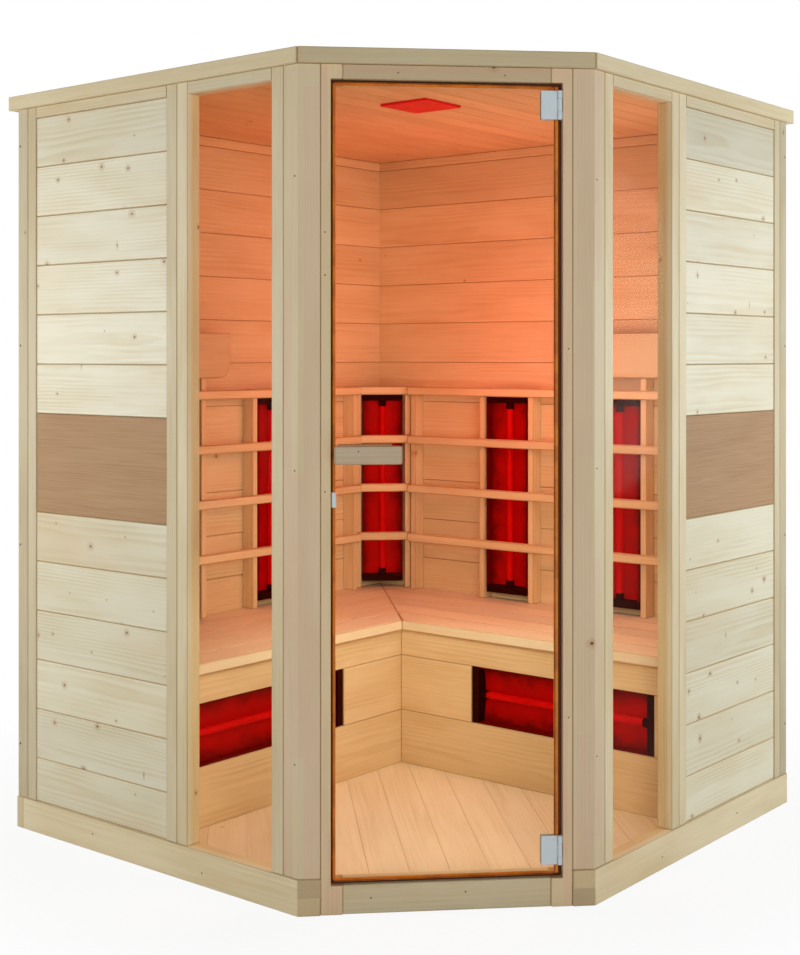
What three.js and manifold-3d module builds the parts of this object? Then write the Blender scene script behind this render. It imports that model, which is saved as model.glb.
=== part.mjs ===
// Five-sided corner infrared cabin for sitting in: plank walls, two fixed windows,
// a glass door hung on two clamp hinges, a corner bench and red infrared emitters.
// Millimetres, +Z up. The door faces -Y, and left and right are those of someone facing it.

import * as THREE from 'three';
import { mergeVertices } from 'three/addons/utils/BufferGeometryUtils.js';
import Module from 'manifold-3d';

const wasm = await Module();
wasm.setup();

// Whole cabin
const CABIN_HEIGHT = 1900;
const CABIN_SIDE = 1460;
const DOOR_FACE = 660;
const WALL = 40;
const FIT = 0.3;
const OVERCUT = 1;

// Base
const BASE_HEIGHT = 80;
const BASE_PROUD = 3;
const FLOOR_HEIGHT = 60;
const FLOOR_BOARD = 20;
const JOIST_WIDTH = 50;
const JOIST_COUNT = 4;
const JOIST_SPREAD = 0.9;

// Roof
const ROOF_SIDE = 1500;
const ROOF_LIP = 7;
const FASCIA_HEIGHT = 36;
const FASCIA_THICK = 20;
const CEILING_THICK = 15;
const ROOF_COVER_THICK = 16;

// Side walls, measured from the front corner
const POST_SIDE = 44;
const POST_FRONT = 50;
const STILE = 36;
const WINDOW_LIGHT = 272;
const REAR_POST = 74;
const REAR_SEAM = 40;
const RAIL_HEIGHT = 28;
const SEAM_WIDTH = 3;
const SEAM_DEPTH = 2.5;

// Planks and the brown accent board
const PLANK_PITCH = 126.5;
const PLANK_RECESS = 3;
const PLANK_THICK = 32;
const PLANK_GROOVE_WIDTH = 4;
const PLANK_GROOVE_DEPTH = 3;
const PLANKS_ABOVE_ACCENT = 6;
const ACCENT_PITCHES = 2;
const ACCENT_THICK = 8;

// Fixed windows
const PANE_THICK = 6;
const PANE_SET_BACK = 12;
const PANE_GROOVE = 8;

// Door frame
const JAMB_WIDTH = 48;
const JAMB_FACE = 22;
const REBATE_DEPTH = 20;
const STOP_WIDTH = 11;
const HEAD_FACE = 32.7;
const OPENING_BOTTOM = 64;
const THRESHOLD_SET_BACK = 3;

// Glass door
const GLASS_THICK = 8;
const GLASS_SET_BACK = 8;
const GLASS_CORNER = 8;
const GAP_LATCH = 4;
const GAP_TOP = 5;
const GAP_BOTTOM = 6;

// Hinges
const HINGE_HEIGHT = 64;
const HINGE_FROM_TOP = 44;
const HINGE_FROM_BOTTOM = 55;
const BARREL_RADIUS = 5.5;
const BARREL_REVEAL_GAP = 1;
const BARREL_AXIS_DEPTH = 2;
const PIN_RADIUS = 2.5;
const PIN_CLEARANCE = 0.05;
const PIN_STAND_OUT = 1;
const KNUCKLE_MIDDLE = 28;
const KNUCKLE_GAP = 0.5;
const CLAMP_WIDTH = 36;
const CLAMP_PLATE = 5;
const CLAMP_BACK_PLATE = 3.4;
const CLAMP_WEB = 2.4;
const LEAF_THICK = 2;
const LEAF_DEPTH = 16;

// Handle and catch
const HANDLE_LENGTH = 148;
const HANDLE_INNER_LENGTH = 120;
const HANDLE_HEIGHT = 40;
const HANDLE_THICK = 18;
const HANDLE_STAND_OFF = 27;
const HANDLE_Z = 1008;
const HANDLE_END_INSET = 2;
const HANDLE_ROUND = 3;
const HANDLE_FOOT_RADIUS = 9;
const HANDLE_FOOT_SPACING = 90;
const CATCH_HEIGHT = 33;
const CATCH_Z = 908;
const CATCH_FLANGE = 10;
const CATCH_THICK = 2;
const MAGNET_HEIGHT = 25;
const MAGNET_DEPTH = 12;

// Bench
const BENCH_DEPTH = 500;
const SEAT_TOP = 471;
const SEAT_THICK = 30;
const SEAT_NOSE = 15;
const SEAT_SLAT_GROOVES = 4;
const SEAT_GROOVE_WIDTH = 2;
const FRONT_THICK = 18;
const CLEAT_HEIGHT = 40;
const CLEAT_DEPTH = 30;

// Emitters
const HEATER_WIDTH = 150;
const CORNER_HEATER_WIDTH = 130;
const HEATER_DEPTH = 40;
const HEATER_LOW = 492;
const HEATER_HIGH = 1100;
const HEATER_WALL = 3;
const HEATER_END = 22;
const ROD_RADIUS = 9;
const HEATER_INNER = 540;
const HEATER_OUTER = 930;
const CALF_LENGTH = 570;
const CALF_HEIGHT = 155;
const CALF_START = 250;
const CALF_Z = 290;
const CALF_RECESS = 2;

// Backrests
const BAR_HEIGHT = 26;
const BAR_THICK = 18;
const BAR_LOW_Z = 640;
const BAR_PITCH = 157;
const BAR_COUNT = 4;
const BATTEN_WIDTH = 20;
const BATTEN_GAP = 6;
const BAR_STAND_OFF = 3;
const REST_FROM_CORNER = 165;
const REST_END = 1085;
const CORNER_REST_HALF = 92;
const HEADREST_WIDTH = 360;
const HEADREST_LOW = 1160;
const HEADREST_HIGH = 1290;
const HEADREST_ROUND = 40;

// Ceiling lamp and control unit
const LAMP_SIDE = 150;
const LAMP_RIM = 5;
const LAMP_DROP = 6;
const LAMP_FROM_DOOR = 514;
const CONTROL_WIDTH = 160;
const CONTROL_HEIGHT = 120;
const CONTROL_DEPTH = 28;
const CONTROL_FROM_CORNER = 640;
const CONTROL_Z = 1310;
const CONTROL_ROUND = 10;

// Sizes that follow from the ones above
const ROOT2 = Math.SQRT2;
const HALF_FACE = DOOR_FACE / 2;
const SIDE_WALL = CABIN_SIDE - DOOR_FACE / ROOT2;
const ROOF_BOTTOM = CABIN_HEIGHT - FASCIA_HEIGHT;
const ROOF_BACK_LIP = ROOF_SIDE - CABIN_SIDE - ROOF_LIP;
const WALL_BOTTOM = BASE_HEIGHT + FIT;
const WALL_TOP = ROOF_BOTTOM - FIT;
const RAIL_BOTTOM = WALL_TOP - RAIL_HEIGHT;
const WINDOW_START = POST_SIDE + FIT;
const LIGHT_START = WINDOW_START + STILE;
const LIGHT_END = LIGHT_START + WINDOW_LIGHT;
const MID_POST_END = LIGHT_END + 2 * STILE;
const REAR_START = SIDE_WALL - REAR_POST;
const PLANK_START = MID_POST_END + FIT;
const PLANK_END = REAR_START - FIT;
const PLANK_BACK = PLANK_RECESS + PLANK_THICK;
const ACCENT_TOP = RAIL_BOTTOM - PLANKS_ABOVE_ACCENT * PLANK_PITCH;
const ACCENT_BOTTOM = ACCENT_TOP - ACCENT_PITCHES * PLANK_PITCH;
const JAMB_OUTER = HALF_FACE - POST_FRONT;
const OPENING_HALF = JAMB_OUTER - JAMB_FACE;
const STOP_HALF = OPENING_HALF - STOP_WIDTH;
const JAMB_INNER = JAMB_OUTER - JAMB_WIDTH;
const OPENING_TOP = WALL_TOP - HEAD_FACE;
const BARREL_X = OPENING_HALF - BARREL_REVEAL_GAP - BARREL_RADIUS;
const CLAMP_EDGE = BARREL_X - BARREL_RADIUS - FIT;
const GLASS_RIGHT = CLAMP_EDGE - CLAMP_WEB - FIT;
const GLASS_LEFT = -OPENING_HALF + GAP_LATCH;
const GLASS_BOTTOM = OPENING_BOTTOM + GAP_BOTTOM;
const GLASS_TOP = OPENING_TOP - GAP_TOP;
const GLASS_BACK = GLASS_SET_BACK + GLASS_THICK;
const HINGE_UPPER_Z = GLASS_TOP - HINGE_FROM_TOP;
const HINGE_LOWER_Z = GLASS_BOTTOM + HINGE_FROM_BOTTOM;
const HANDLE_LEFT = GLASS_LEFT + HANDLE_END_INSET;
const HANDLE_X = HANDLE_LEFT + HANDLE_LENGTH / 2;
const HANDLE_FRONT = GLASS_SET_BACK - HANDLE_STAND_OFF - HANDLE_THICK;
const SEAT_BOTTOM = SEAT_TOP - SEAT_THICK;
const BENCH_EDGE = WALL + BENCH_DEPTH;
const BENCH_FRONT = BENCH_EDGE - SEAT_NOSE;
const INNER_END = CABIN_SIDE - WALL - FIT;
const BATTEN_DEPTH = HEATER_DEPTH + 2 * FIT + BAR_STAND_OFF;
const REST_FRONT = WALL + BATTEN_DEPTH;
const INNER_CORNER_Y = (CABIN_SIDE - WALL) * ROOT2 - HALF_FACE;
const ROOF_BACK_Y = (CABIN_SIDE + ROOF_BACK_LIP) * ROOT2 - HALF_FACE;

// Finishes, in the colours of the photograph
const finish = (color, roughness, metalness = 0) =>
  new THREE.MeshStandardMaterial({ color, roughness, metalness });
const plankWood = () => finish(0xe0d6b8, 0.62);
const frameWood = () => finish(0xd2c09a, 0.6);
const postWood = () => finish(0xc4b08f, 0.6);
const roofWood = () => finish(0xc9b689, 0.62);
const accentWood = () => finish(0xae8d6b, 0.55);
const innerWood = () => finish(0xdfb083, 0.6);
const handleWood = () => finish(0xb8a888, 0.5);
const satinMetal = () => finish(0xb4c0c6, 0.35, 0.9);
const emitterRed = () => finish(0xa0100c, 0.4);
const lampRed = () => finish(0xdd2222, 0.3);
const sealBrown = () => finish(0x3a2410, 0.7);
const magnetGrey = () => finish(0x55585c, 0.5, 0.6);
const unitBlack = () => finish(0x2a2a2c, 0.5);
const clearGlass = () => {
  const glass = finish(0xe0a880, 0.05);
  glass.transparent = true;
  glass.opacity = 0.35;
  return glass;
};

// Turns a geometry into a closed solid for cutting and joining.
function solid(geometry) {
  const bare = geometry.clone();
  bare.deleteAttribute('normal');
  bare.deleteAttribute('uv');
  const merged = mergeVertices(bare, 1e-4);
  const vertProperties = new Float32Array(merged.attributes.position.array);
  const triVerts = new Uint32Array(merged.index.array);
  return new wasm.Manifold(new wasm.Mesh({ numProp: 3, vertProperties, triVerts }));
}

// Turns a solid back into a geometry.
function skin(body) {
  const mesh = body.getMesh();
  const geometry = new THREE.BufferGeometry();
  geometry.setAttribute('position', new THREE.BufferAttribute(new Float32Array(mesh.vertProperties), 3));
  geometry.setIndex(new THREE.BufferAttribute(new Uint32Array(mesh.triVerts), 1));
  geometry.computeVertexNormals();
  return geometry;
}

const join = (first, ...others) =>
  skin(others.reduce((body, other) => body.add(solid(other)), solid(first)));
const cut = (first, ...tools) =>
  skin(tools.reduce((body, tool) => body.subtract(solid(tool)), solid(first)));

// A block between two opposite corners.
function block(x0, x1, y0, y1, z0, z1) {
  const geometry = new THREE.BoxGeometry(Math.abs(x1 - x0), Math.abs(y1 - y0), Math.abs(z1 - z0));
  return geometry.translate((x0 + x1) / 2, (y0 + y1) / 2, (z0 + z1) / 2);
}

function outline(points) {
  return new THREE.Shape(points.map(([x, y]) => new THREE.Vector2(x, y)));
}

// A plan outline raised from one height to another.
function raise(points, z0, z1) {
  const geometry = new THREE.ExtrudeGeometry(outline(points), { depth: z1 - z0, bevelEnabled: false });
  return geometry.translate(0, 0, z0);
}

// A section given as depth and height, run along X.
function runAlongX(section, x0, x1) {
  const geometry = new THREE.ExtrudeGeometry(outline(section), { depth: x1 - x0, bevelEnabled: false });
  const turn = new THREE.Matrix4().makeBasis(
    new THREE.Vector3(0, 1, 0), new THREE.Vector3(0, 0, 1), new THREE.Vector3(1, 0, 0));
  return geometry.applyMatrix4(turn).translate(x0, 0, 0);
}

// A front view given as width and height, run along Y.
function runAlongY(shape, y0, y1) {
  const settings = { depth: y1 - y0, bevelEnabled: false, curveSegments: 6 };
  const geometry = new THREE.ExtrudeGeometry(shape, settings);
  return geometry.rotateX(Math.PI / 2).translate(0, y1, 0);
}

// A rectangle with its own radius at the lower and upper corners.
function roundedRectangle(x0, x1, z0, z1, lowRadius, highRadius) {
  const shape = new THREE.Shape();
  shape.moveTo(x0 + lowRadius, z0);
  shape.lineTo(x1 - lowRadius, z0);
  if (lowRadius > 0) shape.absarc(x1 - lowRadius, z0 + lowRadius, lowRadius, -Math.PI / 2, 0);
  shape.lineTo(x1, z1 - highRadius);
  if (highRadius > 0) shape.absarc(x1 - highRadius, z1 - highRadius, highRadius, 0, Math.PI / 2);
  shape.lineTo(x0 + highRadius, z1);
  if (highRadius > 0) shape.absarc(x0 + highRadius, z1 - highRadius, highRadius, Math.PI / 2, Math.PI);
  shape.lineTo(x0, z0 + lowRadius);
  if (lowRadius > 0) shape.absarc(x0 + lowRadius, z0 + lowRadius, lowRadius, Math.PI, 1.5 * Math.PI);
  return shape;
}

// An upright round bar.
function upright(x, y, radius, z0, z1) {
  const geometry = new THREE.CylinderGeometry(radius, radius, z1 - z0, 32);
  return geometry.rotateX(Math.PI / 2).translate(x, y, (z0 + z1) / 2);
}

// A round bar lying along Y.
function crosswise(x, z, radius, y0, y1) {
  const geometry = new THREE.CylinderGeometry(radius, radius, y1 - y0, 24);
  return geometry.translate(x, (y0 + y1) / 2, z);
}

function piece(name, geometry, material) {
  const mesh = new THREE.Mesh(geometry, material);
  mesh.name = name;
  return mesh;
}

// Left is the mirror image of right, so its plan outlines are mirrored in X and wound back.
const mirrored = (points, side) =>
  side > 0 ? points : points.map(([x, y]) => [-x, y]).reverse();
const sideName = (side) => (side > 0 ? 'right' : 'left');
const span = (side, from, to, ...rest) => block(side * from, side * to, ...rest);

// Heights of the plank seams, from the rail down to the base.
function plankSeams() {
  const seams = [];
  const lowest = WALL_BOTTOM + PLANK_GROOVE_WIDTH;
  for (let z = RAIL_BOTTOM - PLANK_PITCH; z > lowest; z -= PLANK_PITCH) {
    seams.push(z);
  }
  return seams.reverse();
}

// One V-groove in a section, at a depth that points into the wood.
const vGroove = (y, inward, z) => [
  [y, z - PLANK_GROOVE_WIDTH / 2], [y + inward * PLANK_GROOVE_DEPTH, z], [y, z + PLANK_GROOVE_WIDTH / 2]];

// Plan of the wood at a front corner: the door face, the jamb's side and the inside of the wall cut it.
function cornerPlan(proud, length) {
  const jambLine = (POST_FRONT - FIT) * ROOT2;
  const meet = jambLine / 2;
  const shift = proud / ROOT2;
  return [
    [proud * (1 - ROOT2), -proud],
    [length, -proud],
    [length, WALL],
    [WALL - jambLine, WALL],
    [-meet - shift, meet - shift],
  ];
}

// The pane with its edges in the grooves, grown by a clearance for cutting them.
function paneBlock(side, grow) {
  return span(side, LIGHT_START - PANE_GROOVE + FIT - grow, LIGHT_END + PANE_GROOVE - FIT + grow,
    PANE_SET_BACK - grow, PANE_SET_BACK + PANE_THICK + grow,
    BASE_HEIGHT - PANE_GROOVE + FIT - grow, RAIL_BOTTOM + PANE_GROOVE - FIT + grow);
}

function baseBeam(side) {
  const beam = raise(mirrored(cornerPlan(BASE_PROUD, SIDE_WALL), side), 0, BASE_HEIGHT);
  return piece(`base_beam_${sideName(side)}`, cut(beam, paneBlock(side, FIT)), frameWood());
}

function cornerPost(side) {
  const post = raise(mirrored(cornerPlan(0, POST_SIDE), side), WALL_BOTTOM, WALL_TOP);
  return piece(`corner_post_${sideName(side)}`, post, postWood());
}

function windowStile(side) {
  const stile = span(side, WINDOW_START, LIGHT_START, 0, WALL, WALL_BOTTOM, WALL_TOP);
  return piece(`window_stile_${sideName(side)}`, cut(stile, paneBlock(side, FIT)), frameWood());
}

// An upright with a shallow seam down its face, where two frame members meet.
function seamedUpright(side, from, seam, to) {
  const half = SEAM_WIDTH / 2;
  const plan = [
    [from, 0], [seam - half, 0], [seam, SEAM_DEPTH], [seam + half, 0], [to, 0], [to, WALL], [from, WALL]];
  return raise(mirrored(plan, side), WALL_BOTTOM, WALL_TOP);
}

function midPost(side) {
  const post = seamedUpright(side, LIGHT_END, LIGHT_END + STILE, MID_POST_END);
  return piece(`mid_post_${sideName(side)}`, cut(post, paneBlock(side, FIT)), frameWood());
}

function rearPost(side) {
  const post = seamedUpright(side, REAR_START, SIDE_WALL - REAR_SEAM, SIDE_WALL);
  return piece(`rear_post_${sideName(side)}`, post, frameWood());
}

function windowRail(side) {
  const rail = span(side, LIGHT_START + FIT, LIGHT_END - FIT, 0, WALL, RAIL_BOTTOM, WALL_TOP);
  return piece(`window_rail_${sideName(side)}`, cut(rail, paneBlock(side, FIT)), frameWood());
}

// Planks with a recess for the accent board, under the rail that holds them.
function plankWall(side) {
  const seams = plankSeams();
  const below = seams.filter((z) => z < ACCENT_BOTTOM - OVERCUT);
  const above = seams.filter((z) => z > ACCENT_TOP + OVERCUT);
  const accentBack = PLANK_RECESS + ACCENT_THICK + FIT;
  const front = [
    [PLANK_RECESS, WALL_BOTTOM],
    ...below.flatMap((z) => vGroove(PLANK_RECESS, 1, z)),
    [PLANK_RECESS, ACCENT_BOTTOM],
    [accentBack, ACCENT_BOTTOM],
    [accentBack, ACCENT_TOP],
    [PLANK_RECESS, ACCENT_TOP],
    ...above.flatMap((z) => vGroove(PLANK_RECESS, 1, z)),
    [PLANK_RECESS, RAIL_BOTTOM],
    [0, RAIL_BOTTOM],
    [0, WALL_TOP],
  ];
  const back = [
    [PLANK_BACK, WALL_BOTTOM],
    ...seams.flatMap((z) => vGroove(PLANK_BACK, -1, z)),
    [PLANK_BACK, WALL_TOP],
  ];
  const section = [...back, ...front.reverse()];
  const ends = [side * PLANK_START, side * PLANK_END].sort((a, b) => a - b);
  return piece(`plank_wall_${sideName(side)}`, runAlongX(section, ...ends), plankWood());
}

function accentBoard(side) {
  const board = span(side, PLANK_START, PLANK_END, PLANK_RECESS, PLANK_RECESS + ACCENT_THICK,
    ACCENT_BOTTOM + FIT, ACCENT_TOP - FIT);
  return piece(`accent_board_${sideName(side)}`, board, accentWood());
}

function windowPane(side) {
  return piece(`window_pane_${sideName(side)}`, paneBlock(side, 0), clearGlass());
}

function controlUnit() {
  const half = CONTROL_WIDTH / 2;
  const face = roundedRectangle(CONTROL_FROM_CORNER - half, CONTROL_FROM_CORNER + half,
    CONTROL_Z - CONTROL_HEIGHT / 2, CONTROL_Z + CONTROL_HEIGHT / 2, CONTROL_ROUND, CONTROL_ROUND);
  const back = PLANK_BACK + FIT;
  return piece('control_unit', runAlongY(face, back, back + CONTROL_DEPTH), unitBlack());
}

// A side wall stands with X along it, away from the front corner on the right side, and Y inwards.
function sideWall(side) {
  const wall = new THREE.Group();
  wall.position.set(side * HALF_FACE, 0, 0);
  wall.rotation.z = side * Math.PI / 4;
  wall.add(baseBeam(side), cornerPost(side), windowStile(side), midPost(side), rearPost(side));
  wall.add(windowRail(side), plankWall(side), accentBoard(side), windowPane(side));
  if (side > 0) wall.add(controlUnit());
  return wall;
}

// Planks of a back wall, grooved on both faces, with the wall's own ends.
function backWall(side, nearCorner) {
  const seams = plankSeams();
  const section = [
    [WALL, WALL_BOTTOM],
    ...seams.flatMap((z) => vGroove(WALL, -1, z)),
    [WALL, WALL_TOP],
    [0, WALL_TOP],
    ...seams.flatMap((z) => vGroove(0, 1, z)).reverse(),
    [0, WALL_BOTTOM],
  ];
  const ends = [-side * nearCorner, -side * INNER_END].sort((a, b) => a - b);
  return piece(`back_wall_${sideName(side)}`, runAlongX(section, ...ends), innerWood());
}

function backBeam(side, nearCorner) {
  const beam = span(-side, nearCorner, INNER_END, 0, WALL, 0, BASE_HEIGHT);
  return piece(`base_beam_back_${sideName(side)}`, beam, frameWood());
}

// Seat boards with shallow grooves along them, mitred in the corner, on a cleat along the wall.
function benchSeat(side) {
  const mitre = FIT * ROOT2;
  const low = WALL + FIT;
  const plan = [
    [low + mitre, low], [INNER_END, low], [INNER_END, BENCH_EDGE], [BENCH_EDGE + mitre, BENCH_EDGE]];
  const seat = raise(mirrored(plan, -side), SEAT_BOTTOM, SEAT_TOP);
  const cleat = span(-side, BENCH_FRONT, INNER_END - CLEAT_DEPTH, low, low + CLEAT_DEPTH,
    SEAT_BOTTOM - CLEAT_HEIGHT, SEAT_BOTTOM);
  const grooves = [];
  for (let i = 1; i <= SEAT_SLAT_GROOVES; i += 1) {
    const y = WALL + (BENCH_DEPTH * i) / (SEAT_SLAT_GROOVES + 1);
    grooves.push(span(-side, 0, INNER_END + FIT, y - SEAT_GROOVE_WIDTH / 2, y + SEAT_GROOVE_WIDTH / 2,
      SEAT_TOP - PLANK_GROOVE_DEPTH, SEAT_TOP + OVERCUT));
  }
  return piece(`bench_seat_${sideName(side)}`, cut(join(seat, cleat), ...grooves), innerWood());
}

// Opening in the bench front that the calf emitter fits, grown by a clearance.
function calfBlock(side, grow, y0, y1) {
  const start = BENCH_FRONT + CALF_START;
  return span(-side, start - grow, start + CALF_LENGTH + grow, y0, y1,
    CALF_Z - CALF_HEIGHT / 2 - grow, CALF_Z + CALF_HEIGHT / 2 + grow);
}

function benchFront(side) {
  const mitre = FIT * ROOT2;
  const back = BENCH_FRONT - FRONT_THICK;
  const plan = [
    [back + mitre, back], [INNER_END, back], [INNER_END, BENCH_FRONT], [BENCH_FRONT + mitre, BENCH_FRONT]];
  const board = raise(mirrored(plan, -side), FLOOR_HEIGHT + FIT, SEAT_BOTTOM - FIT);
  const hole = calfBlock(side, FIT, back - OVERCUT, BENCH_FRONT + OVERCUT);
  return piece(`bench_front_${sideName(side)}`, cut(board, hole), innerWood());
}

// Emitter: a tray open to the front, closed at both ends, with its rod from end to end along Z.
function emitter(name, width, length) {
  const half = width / 2;
  const tray = block(-half, half, 0, HEATER_DEPTH, 0, length);
  const hollow = block(-half + HEATER_WALL, half - HEATER_WALL, HEATER_WALL, HEATER_DEPTH + OVERCUT,
    HEATER_END, length - HEATER_END);
  const rod = upright(0, HEATER_DEPTH / 2, ROD_RADIUS, HEATER_END - OVERCUT, length - HEATER_END + OVERCUT);
  return piece(name, join(cut(tray, hollow), rod), emitterRed());
}

function wallEmitter(side, place, fromCorner) {
  const heater = emitter(`emitter_${sideName(side)}_${place}`, HEATER_WIDTH, HEATER_HIGH - HEATER_LOW);
  heater.position.set(-side * (WALL + fromCorner), WALL + FIT, HEATER_LOW);
  return heater;
}

function calfEmitter(side) {
  const heater = emitter(`emitter_calf_${sideName(side)}`, CALF_HEIGHT, CALF_LENGTH);
  const start = BENCH_FRONT + CALF_START;
  heater.rotation.y = Math.PI / 2;
  const x = side > 0 ? -start - CALF_LENGTH : start;
  heater.position.set(x, BENCH_FRONT - CALF_RECESS - HEATER_DEPTH, CALF_Z);
  return heater;
}

// Cross bars of a backrest from one place along the wall to another, with their front at a given depth.
function crossBars(x0, x1, y0) {
  const bars = [];
  for (let i = 0; i < BAR_COUNT; i += 1) {
    const z = BAR_LOW_Z + i * BAR_PITCH;
    bars.push(block(x0, x1, y0, y0 + BAR_THICK, z - BAR_HEIGHT / 2, z + BAR_HEIGHT / 2));
  }
  return bars;
}

// Lattice backrest: battens on the wall either side of the emitters, cross bars and a headrest board.
function backrest(side) {
  const from = WALL + REST_FROM_CORNER;
  const to = WALL + REST_END;
  const beside = HEATER_WIDTH / 2 + BATTEN_GAP + BATTEN_WIDTH / 2;
  const restTop = BAR_LOW_Z + (BAR_COUNT - 1) * BAR_PITCH + BAR_HEIGHT / 2;
  const headCentre = WALL + HEATER_OUTER;
  const low = WALL + FIT;
  const batten = (at, top) =>
    span(-side, at - BATTEN_WIDTH / 2, at + BATTEN_WIDTH / 2, low, REST_FRONT + OVERCUT, SEAT_TOP + FIT, top);
  const battens = [
    batten(from + BATTEN_WIDTH / 2, restTop),
    batten(WALL + HEATER_INNER - beside, restTop),
    batten(WALL + HEATER_INNER + beside, restTop),
    batten(headCentre - beside, HEADREST_HIGH - HEADREST_ROUND),
    batten(headCentre + beside, HEADREST_HIGH - HEADREST_ROUND),
  ];
  const bars = crossBars(-side * from, -side * to, REST_FRONT);
  const middle = -side * headCentre;
  const board = runAlongY(roundedRectangle(middle - HEADREST_WIDTH / 2, middle + HEADREST_WIDTH / 2,
    HEADREST_LOW, HEADREST_HIGH, HEADREST_ROUND, BATTEN_GAP), REST_FRONT, REST_FRONT + BAR_THICK);
  return piece(`backrest_${sideName(side)}`, join(board, ...battens, ...bars), innerWood());
}

// A back wall stands with Y inwards and X along it from the back corner.
function backSide(side) {
  const nearCorner = side > 0 ? 0 : WALL + FIT;
  const wall = new THREE.Group();
  wall.position.set(0, CABIN_SIDE * ROOT2 - HALF_FACE, 0);
  wall.rotation.z = side * 0.75 * Math.PI;
  wall.add(backWall(side, nearCorner), backBeam(side, nearCorner), benchSeat(side), benchFront(side));
  wall.add(wallEmitter(side, 'inner', HEATER_INNER), wallEmitter(side, 'outer', HEATER_OUTER));
  wall.add(calfEmitter(side), backrest(side));
  return wall;
}

// The emitter that stands across the back corner, facing the door.
function cornerEmitter() {
  const heater = emitter('emitter_corner', CORNER_HEATER_WIDTH, HEATER_HIGH - HEATER_LOW);
  const back = INNER_CORNER_Y - CORNER_HEATER_WIDTH / 2 - FIT * ROOT2;
  heater.rotation.z = Math.PI;
  heater.position.set(0, back, HEATER_LOW);
  return heater;
}

// Backrest in front of the corner emitter.
function cornerBackrest() {
  const emitterFront = INNER_CORNER_Y - CORNER_HEATER_WIDTH / 2 - FIT * ROOT2 - HEATER_DEPTH;
  const barBack = emitterFront - BATTEN_GAP;
  const inner = CORNER_HEATER_WIDTH / 2 + BATTEN_GAP;
  const outer = inner + BATTEN_WIDTH;
  const battenBack = INNER_CORNER_Y - outer - FIT * ROOT2;
  const restTop = BAR_LOW_Z + (BAR_COUNT - 1) * BAR_PITCH + BAR_HEIGHT / 2;
  const battens = [-1, 1].map((side) =>
    span(side, inner, outer, barBack - OVERCUT, battenBack, SEAT_TOP + FIT, restTop));
  const bars = crossBars(-CORNER_REST_HALF, CORNER_REST_HALF, barBack - BAR_THICK);
  return piece('backrest_corner', join(...bars, ...battens), innerWood());
}

// Corners of the five-sided plan, moved out from the wall faces by a front and a back distance.
function fiveSided(front, back) {
  const near = -front;
  const far = CABIN_SIDE + back;
  const face = DOOR_FACE / ROOT2 - front * ROOT2;
  const toPlan = ([p, q]) => [(p - q) / ROOT2, (p + q) / ROOT2 - HALF_FACE];
  return [[face - near, near], [far, near], [far, far], [near, far], [near, face - near]].map(toPlan);
}

// Floor boards on joists.
function floorPanel() {
  const inside = fiveSided(-WALL - FIT, -WALL - FIT);
  const boards = raise(inside, FLOOR_HEIGHT - FLOOR_BOARD, FLOOR_HEIGHT);
  const reach = inside[0][0];
  const joists = [];
  for (let i = 0; i < JOIST_COUNT; i += 1) {
    const x = reach * ((2 * i) / (JOIST_COUNT - 1) - 1) * JOIST_SPREAD;
    joists.push(block(x - JOIST_WIDTH / 2, x + JOIST_WIDTH / 2, inside[0][1] + JOIST_WIDTH,
      INNER_CORNER_Y - reach - 2 * JOIST_WIDTH, 0, FLOOR_HEIGHT - FLOOR_BOARD));
  }
  return piece('floor_panel', join(boards, ...joists), innerWood());
}

function ceilingPanel() {
  const edge = ROOF_LIP - FASCIA_THICK - FIT;
  const boards = raise(fiveSided(edge, ROOF_BACK_LIP), ROOF_BOTTOM, ROOF_BOTTOM + CEILING_THICK);
  const half = LAMP_SIDE / 2 - LAMP_RIM + FIT;
  const hole = block(-half, half, -half, half, ROOF_BOTTOM - OVERCUT, CABIN_HEIGHT);
  hole.rotateZ(Math.PI / 4).translate(0, LAMP_FROM_DOOR, 0);
  return piece('ceiling_panel', cut(boards, hole), innerWood());
}

function ceilingLamp() {
  const half = LAMP_SIDE / 2;
  const body = half - LAMP_RIM;
  const cover = block(-half, half, -half, half, ROOF_BOTTOM - FIT - LAMP_DROP, ROOF_BOTTOM - FIT);
  const box = block(-body, body, -body, body, ROOF_BOTTOM - FIT - OVERCUT, ROOF_BOTTOM + CEILING_THICK - FIT);
  const lamp = piece('ceiling_lamp', join(cover, box), lampRed());
  lamp.rotation.z = Math.PI / 4;
  lamp.position.set(0, LAMP_FROM_DOOR, 0);
  return lamp;
}

function roofCover() {
  const edge = ROOF_LIP - FASCIA_THICK - FIT;
  const low = ROOF_BOTTOM + CEILING_THICK + FIT;
  return piece('roof_cover', raise(fiveSided(edge, ROOF_BACK_LIP), low, low + ROOF_COVER_THICK), roofWood());
}

// Fascia boards, mitred where the door face meets the side walls.
function frontFascia() {
  const outer = fiveSided(ROOF_LIP, 0);
  const inner = fiveSided(ROOF_LIP - FASCIA_THICK, 0);
  const gap = FIT / 2;
  const plan = [
    [outer[4][0] + gap, outer[4][1]], [outer[0][0] - gap, outer[0][1]],
    [inner[0][0] - gap, inner[0][1]], [inner[4][0] + gap, inner[4][1]]];
  return piece('fascia_front', raise(plan, ROOF_BOTTOM, CABIN_HEIGHT), roofWood());
}

function sideFascia(side) {
  const outer = fiveSided(ROOF_LIP, ROOF_BACK_LIP);
  const inner = fiveSided(ROOF_LIP - FASCIA_THICK, ROOF_BACK_LIP);
  const gap = FIT / 2;
  const plan = [[outer[0][0] + gap, outer[0][1]], outer[1], inner[1], [inner[0][0] + gap, inner[0][1]]];
  const board = raise(mirrored(plan, side), ROOF_BOTTOM, CABIN_HEIGHT);
  return piece(`fascia_${sideName(side)}`, board, roofWood());
}

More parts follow.
